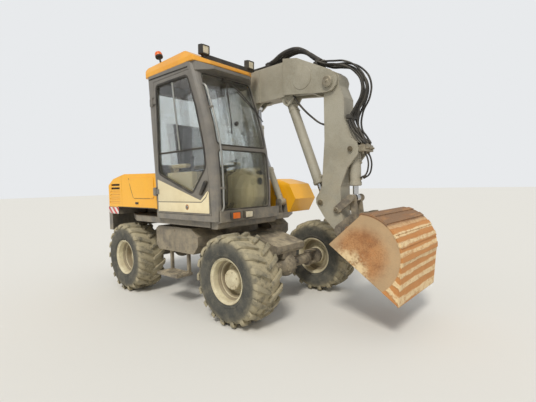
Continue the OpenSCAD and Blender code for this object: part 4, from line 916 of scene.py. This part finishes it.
# Boom: welded plate boxes in grey, dusty and rubbed at the pins, with bright ram rods and cast links.
boom_paint = finish("boom_paint", (172, 167, 151), (148, 142, 125), broad=1.8, share=0.8, dusty=0.34, low=1.9,
                    wear=0.9, bare=(190, 178, 152), edge=0.006)
link_paint = finish("link_paint", (106, 99, 90), (84, 76, 66), broad=5.0, dusty=0.6, low=2.0, wear=0.8,
                    bare=(126, 96, 66), rough=0.6)
ram_rod = finish("ram_rod", (205, 206, 208), (190, 190, 190), dusty=0.12, low=1.6, wear=0.0, rough=0.14, metal=1.0,
                 bump=0.02, fine=20.0)
dress(boom_paint, "lift_boom", "jib", "arm", "lift_barrels", "jib_barrel", "arm_barrel", "bucket_barrel")
dress(link_paint, "rocker", "link", "coupler")
dress(ram_rod, "lift_rods", "jib_rod", "arm_rod", "bucket_rod")

# Boom fittings: pin caps with their lock bolts, cylinder glands and ports, and weld beads along the plates.
BOOM_Y = 0.25
steel = finish("zinc_steel", (168, 160, 142), (120, 108, 88), broad=9.0, low=2.0, wear=0.4, rough=0.45, metal=0.7,
               bump=0.3)
pin_iron = finish("pin_iron", (104, 92, 68), (70, 58, 44), broad=16.0, dusty=0.3, low=2.2, rough=0.55, metal=0.3)
# each pin: x, z, half its length, radius
for name, paint, body, pins in (
        ("jib_pin_caps", steel, "jib", ((1.88, 2.92, 0.195, 0.064), (0.1, 3.05, 0.183, 0.04),
                                        (1.18, 2.8, 0.108, 0.024))),
        ("arm_pin_caps", pin_iron, "arm", ((1.72, 1.4, 0.135, 0.038), (1.968, 1.312, 0.17, 0.024),
                                           (2.16, 2.06, 0.14, 0.034))),
        ("foot_pin_caps", steel, "upper", ((0.4, 1.5, 0.17, 0.04),)),
        ("lift_pin_caps", steel, "lift_rods", ((0.4, 2.35, 0.238, 0.026),))):
    caps = []
    for x, z, reach, r in pins:
        for out in (1, -1):
            place, facing = at(x, BOOM_Y + out * reach, z), (0, out, 0)
            cap = [(r * 0.4, 0.009), (r * 0.46, 0.006), (r * 0.9, 0.006), (r, 0.002), (r, -0.001)]
            caps += [round_part(cap, place, facing, 40), bolt(place + Vector((0, out * 0.008, 0)), facing, r * 0.24)]
    fixed(caps, name, paint, body)


def gland(name, body, base, end, way, tube_r, rod_r, sides=(0.0,)):
    """The nut that closes a cylinder round its rod, a base weld ring and the two oil ports."""
    along = Vector((end[0] - base[0], 0, end[1] - base[1])).normalized()
    across = along.cross(Vector((0, 1, 0)))
    nut = [(rod_r + 0.0015, 0.012), (tube_r - 0.006, 0.012), (tube_r + 0.005, 0.006), (tube_r + 0.007, -0.004),
           (tube_r + 0.007, -0.036), (tube_r + 0.0005, -0.04), (tube_r + 0.0005, 0.0005), (rod_r + 0.0015, 0.0005)]
    ring = [(tube_r + 0.005, 0.0), (tube_r + 0.0035, 0.008), (tube_r - 0.002, 0.011), (tube_r - 0.002, -0.011),
            (tube_r + 0.0035, -0.008)]
    boss = [(0.012, 0.02), (0.014, 0.016), (0.018, 0.004), (0.02, -0.006)]
    made = []
    for off in sides:
        start = at(base[0], BOOM_Y + off, base[1])
        for part, far in ((nut, way), (ring, tube_r + 0.058)):
            made.append(aimed(spun(part, 40), start + along * far, along))
        for far in (tube_r + 0.1, way - 0.075):
            made.append(round_part(boss, start + along * far + across * tube_r, across, 6))
    fixed(smoothed(joined(made)), name, boom_paint, body)


gland("lift_cylinder_glands", "lift_barrels", (0.8, 1.38), (0.4, 2.35), 0.56, 0.048, 0.03, (0.19, -0.19))
gland("jib_cylinder_gland", "jib_barrel", (0.62, 1.64), (0.56, 2.83), 0.9, 0.052, 0.032)
gland("arm_cylinder_gland", "arm_barrel", (1.18, 2.8), (1.72, 1.4), 1.23, 0.068, 0.036)
gland("bucket_cylinder_gland", "bucket_barrel", (2.16, 2.06), (2.16, 1.457), 0.44, 0.068, 0.036)

beads = [tube(on_side(run, y), 0.0045) for y in (BOOM_Y - 0.1205, BOOM_Y + 0.1205) for run in (
    [(1.7965, 2.8), (1.7965, 2.2), (1.747, 1.62), (1.66, 1.44)], [(2.0735, 2.7), (2.0735, 2.44), (2.172, 2.195)])]
fixed(beads, "arm_weld_beads", boom_paint, "arm")

# Hoses: black rubber with crimped steel ends, laid in bundles and held by clamps. They rise behind the boom, lie on
# the jib under a woven sleeve, loop over the arm's pivot and end at the valve block and the cylinders.
hose_rubber = finish("hose_rubber", (30, 30, 30), (46, 44, 42), broad=7.0, dusty=0.3, low=1.4, wear=0.0, rough=0.6,
                     fine=180.0, bump=0.3, deep=0.001)
sleeve_cloth = finish("sleeve_cloth", (34, 35, 38), (52, 50, 50), broad=8.0, dusty=0.25, low=2.0, wear=0.0,
                      rough=0.85, fine=420.0, bump=0.8, deep=0.0015)


def bundle(name, bodies, radius, places, weave, ends, route, paint=hose_rubber):
    """Hoses side by side along a route of (x, z); weave swings them about each other. Between two bodies the
    hoses are baked in place and fixed to no body; the end places are worked out but not used."""
    crimp = [(radius * 0.9, -0.012), (radius * 1.25, -0.006), (radius * 1.25, 0.035), (radius * 1.02, 0.04)]
    made = []
    for i, place in enumerate(places):
        way = [at(x + weave * sin(1.3 * k + 2.1 * i), BOOM_Y + place + weave * cos(1.7 * k + i),
                  z + weave * cos(1.1 * k + 2.5 * i)) for k, (x, z) in enumerate(route)]
        made.append(tube(way, radius, flowing=True))
        made += [round_part(crimp, tip, inner - tip, 12) for tip, inner in ((way[0], way[1]), (way[-1], way[-2]))]
    if len(bodies) == 1:
        return fixed(made, name, paint, bodies[0])
    piece = named(made, name, paint)
    start, end = (tuple(place) for place in on_side(ends, BOOM_Y))
    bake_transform(piece)


four = (-0.075, -0.025, 0.025, 0.075)
bundle("boom_foot_hoses", ("upper", "lift_boom"), 0.014, four, 0.0, ((-0.055, 1.35), (0.075, 1.86)),
       [(-0.06, 1.245), (-0.055, 1.4), (0.0, 1.62), (0.075, 1.84), (0.095, 2.03)])
bundle("boom_back_hoses", ("lift_boom", "jib"), 0.014, four, 0.0, ((-0.06, 2.86), (0.2, 3.37)),
       [(0.095, 2.04), (0.065, 2.25), (0.02, 2.5), (-0.03, 2.75), (-0.08, 2.98), (-0.085, 3.14), (-0.015, 3.28),
        (0.13, 3.36), (0.35, 3.385), (0.6, 3.375), (0.86, 3.375)])
bundle("jib_sleeve", ("jib",), 0.03, (-0.065, 0.0, 0.065), 0.004, (),
       [(0.8, 3.385), (0.93, 3.42), (1.06, 3.475), (1.2, 3.502), (1.33, 3.49), (1.45, 3.43), (1.57, 3.335),
        (1.7, 3.235)], sleeve_cloth)
bundle("arm_pivot_hoses", ("jib", "arm"), 0.013, (-0.095, -0.057, -0.019, 0.019, 0.057, 0.095), 0.01,
       ((1.95, 3.13), (2.2, 2.56)),
       [(1.66, 3.235), (1.8, 3.165), (1.95, 3.135), (2.1, 3.085), (2.235, 2.97), (2.3, 2.83), (2.285, 2.68),
        (2.205, 2.56), (2.145, 2.45), (2.175, 2.32), (2.255, 2.2), (2.31, 2.12)])
bundle("arm_outer_hoses", ("jib", "arm"), 0.012, (-0.07, 0.045), 0.008, ((1.95, 3.17), (2.26, 2.52)),
       [(1.7, 3.225), (1.9, 3.185), (2.08, 3.145), (2.25, 3.03), (2.345, 2.86), (2.335, 2.68), (2.25, 2.52),
        (2.235, 2.32), (2.3, 2.2), (2.335, 2.12)])
bundle("jib_under_hoses", ("jib", "arm"), 0.01, (-0.113, -0.09), 0.0, ((1.36, 2.78), (1.72, 2.43)),
       [(1.3, 2.868), (1.345, 2.79), (1.45, 2.66), (1.6, 2.52), (1.72, 2.43), (1.79, 2.4)])
bundle("bucket_cylinder_hoses", ("arm", "bucket_barrel"), 0.01, (-0.045, 0.045), 0.0, ((2.33, 1.97), (2.28, 1.71)),
       [(2.31, 2.015), (2.345, 1.93), (2.35, 1.83), (2.315, 1.74), (2.255, 1.705)])
# each clamp: x, z, half its width, height, half its depth
for name, body, holds in (
        ("boom_back_clamps", "lift_boom", ((0.063, 2.033, 0.052, 0.034, 0.108), (0.0, 2.52, 0.055, 0.034, 0.108))),
        ("jib_clamps", "jib", ((0.6, 3.357, 0.03, 0.04, 0.108), (1.66, 3.205, 0.03, 0.056, 0.112),
                               (0.84, 3.362, 0.026, 0.05, 0.108))),
        ("arm_hose_clamps", "arm", ((2.128, 2.46, 0.03, 0.052, 0.118),))):
    made = []
    for x, z, wide, high, deep in holds:
        made.append(block(at(x - wide, BOOM_Y - deep, z - high / 2), at(x + wide, BOOM_Y + deep, z + high / 2), 0.008))
        made += [bolt(at(x, BOOM_Y + y, z + high / 2), (0, 0, 1), 0.008) for y in (-0.05, 0.0, 0.05)]
    fixed(made, name, black_plastic, body)
valve = [block(at(2.262, BOOM_Y - 0.118, 2.02), at(2.345, BOOM_Y + 0.118, 2.1), 0.005),
         block(at(2.275, BOOM_Y - 0.085, 2.098), at(2.335, BOOM_Y + 0.085, 2.118))]
for y in (-0.085, -0.045, -0.005, 0.035, 0.075):
    valve += [round_part([(0.01, 0.03), (0.012, 0.026), (0.012, 0.01), (0.016, 0.008), (0.016, 0)],
                         at(2.345, BOOM_Y + y, 2.06), (1, 0, 0), 6),
              round_part([(0.009, 0.028), (0.011, 0.022), (0.011, 0.006), (0.015, 0.004), (0.015, 0)],
                         at(2.305, BOOM_Y + y, 2.02), (0, 0, -1), 6)]
fixed(valve, "arm_valve_block", steel, "arm")

# Bucket: thick plate rolled to a drum with wear strips welded across it, between two end plates. All of it is rust,
# browner on top, with pale dry soil in bands between the strips and caked low on the end plates.
DRUM_X, DRUM_Z, STRIP_PITCH = 2.5, 0.87, 13.0


def from_place(ways, middle):
    """How far a surface lies ahead of and above a place, and straight away from it, seen from the side."""
    x, z = ways.out(0) - middle.x, ways.out(2) - middle.z
    return x, z, (x * x + z * z).by("POWER", 0.5)


rust, place, facing = material("rusted_plate")
ways = node(place.tree, "SeparateXYZ", Vector=place)
ahead, above, spread = from_place(ways, at(DRUM_X, 0, DRUM_Z))
swing = above.by("ARCTAN2", ahead).by("DEGREES")
on_shell = spread.ramp(0.425, 0.437)
streaks = noise(node(place.tree, "Mapping", Vector=place, Scale=(9.0, 1.2, 9.0)), 1.6, 6.0, 0.65)
crumbs = noise(place, 17.0, 8.0, 0.75)
tone = placed(mottle, place, Tone=(190, 142, 96), Other=(152, 106, 70), Broad=4.0, Share=0.9)
tone = mixed(streaks.ramp(0.45, 0.7) * 0.4, tone, (196, 134, 82))
upper_part = on_shell * swing.ramp(38.0, 52.0)
tone = mixed((upper_part * (streaks.ramp(0.35, 0.6) + 0.35)).clamped(), tone, (142, 112, 86))
tone = mixed((on_shell * (0.75 - upper_part)).clamped(), tone, (206, 144, 86))
grey_zone = (spread + streaks * 0.12).ramp(0.26, 0.42) * (1.0 - on_shell)
tone = mixed(grey_zone * 0.7, tone, (194, 170, 134))
pitch = ((swing + streaks * 9.0 + 94.0).by("DIVIDE", STRIP_PITCH).by("FRACT") - 0.5).by("ABSOLUTE")
bands = pitch.ramp(0.2, 0.36) * on_shell * (1.0 - swing.ramp(30.0, 55.0))
off = from_place(ways, at(2.33, 0, 0.66))[2]
cake = (1.0 - (off - crumbs * 0.3).ramp(0.0, 0.16)) * (1.0 - on_shell)
soil = (bands * (crumbs.ramp(0.3, 0.6) + 0.25)).clamped().by("MAXIMUM", cake * crumbs.ramp(0.34, 0.52))
tone = mixed(soil * 0.85, tone, (240, 216, 170))
worn = placed(edges, place, Radius=0.006, Amount=1.0)
relief = bumped(placed(grain, place, Fine=70.0, Waves=0.5) + soil * 1.6, 0.7, 0.005, Normal=worn.out("Normal"))
coated(rust, Base_Color=mixed(worn, tone, (214, 164, 112)), Normal=relief, Roughness=0.8, Specular_IOR_Level=0.3)
dress(rust, "bucket")
welds = []
for y in (BOOM_Y - 0.5765, BOOM_Y + 0.5765):
    turns = [radians(a) for a in range(86, -13, -7)]
    rim = on_side([(DRUM_X + 0.447 * cos(a), DRUM_Z + 0.447 * sin(a)) for a in turns], y)
    welds += [tube(rim, 0.005), tube([rim[-1], at(2.906, y, 0.388)], 0.005)]
fixed(welds, "bucket_weld_beads", rust, "bucket")
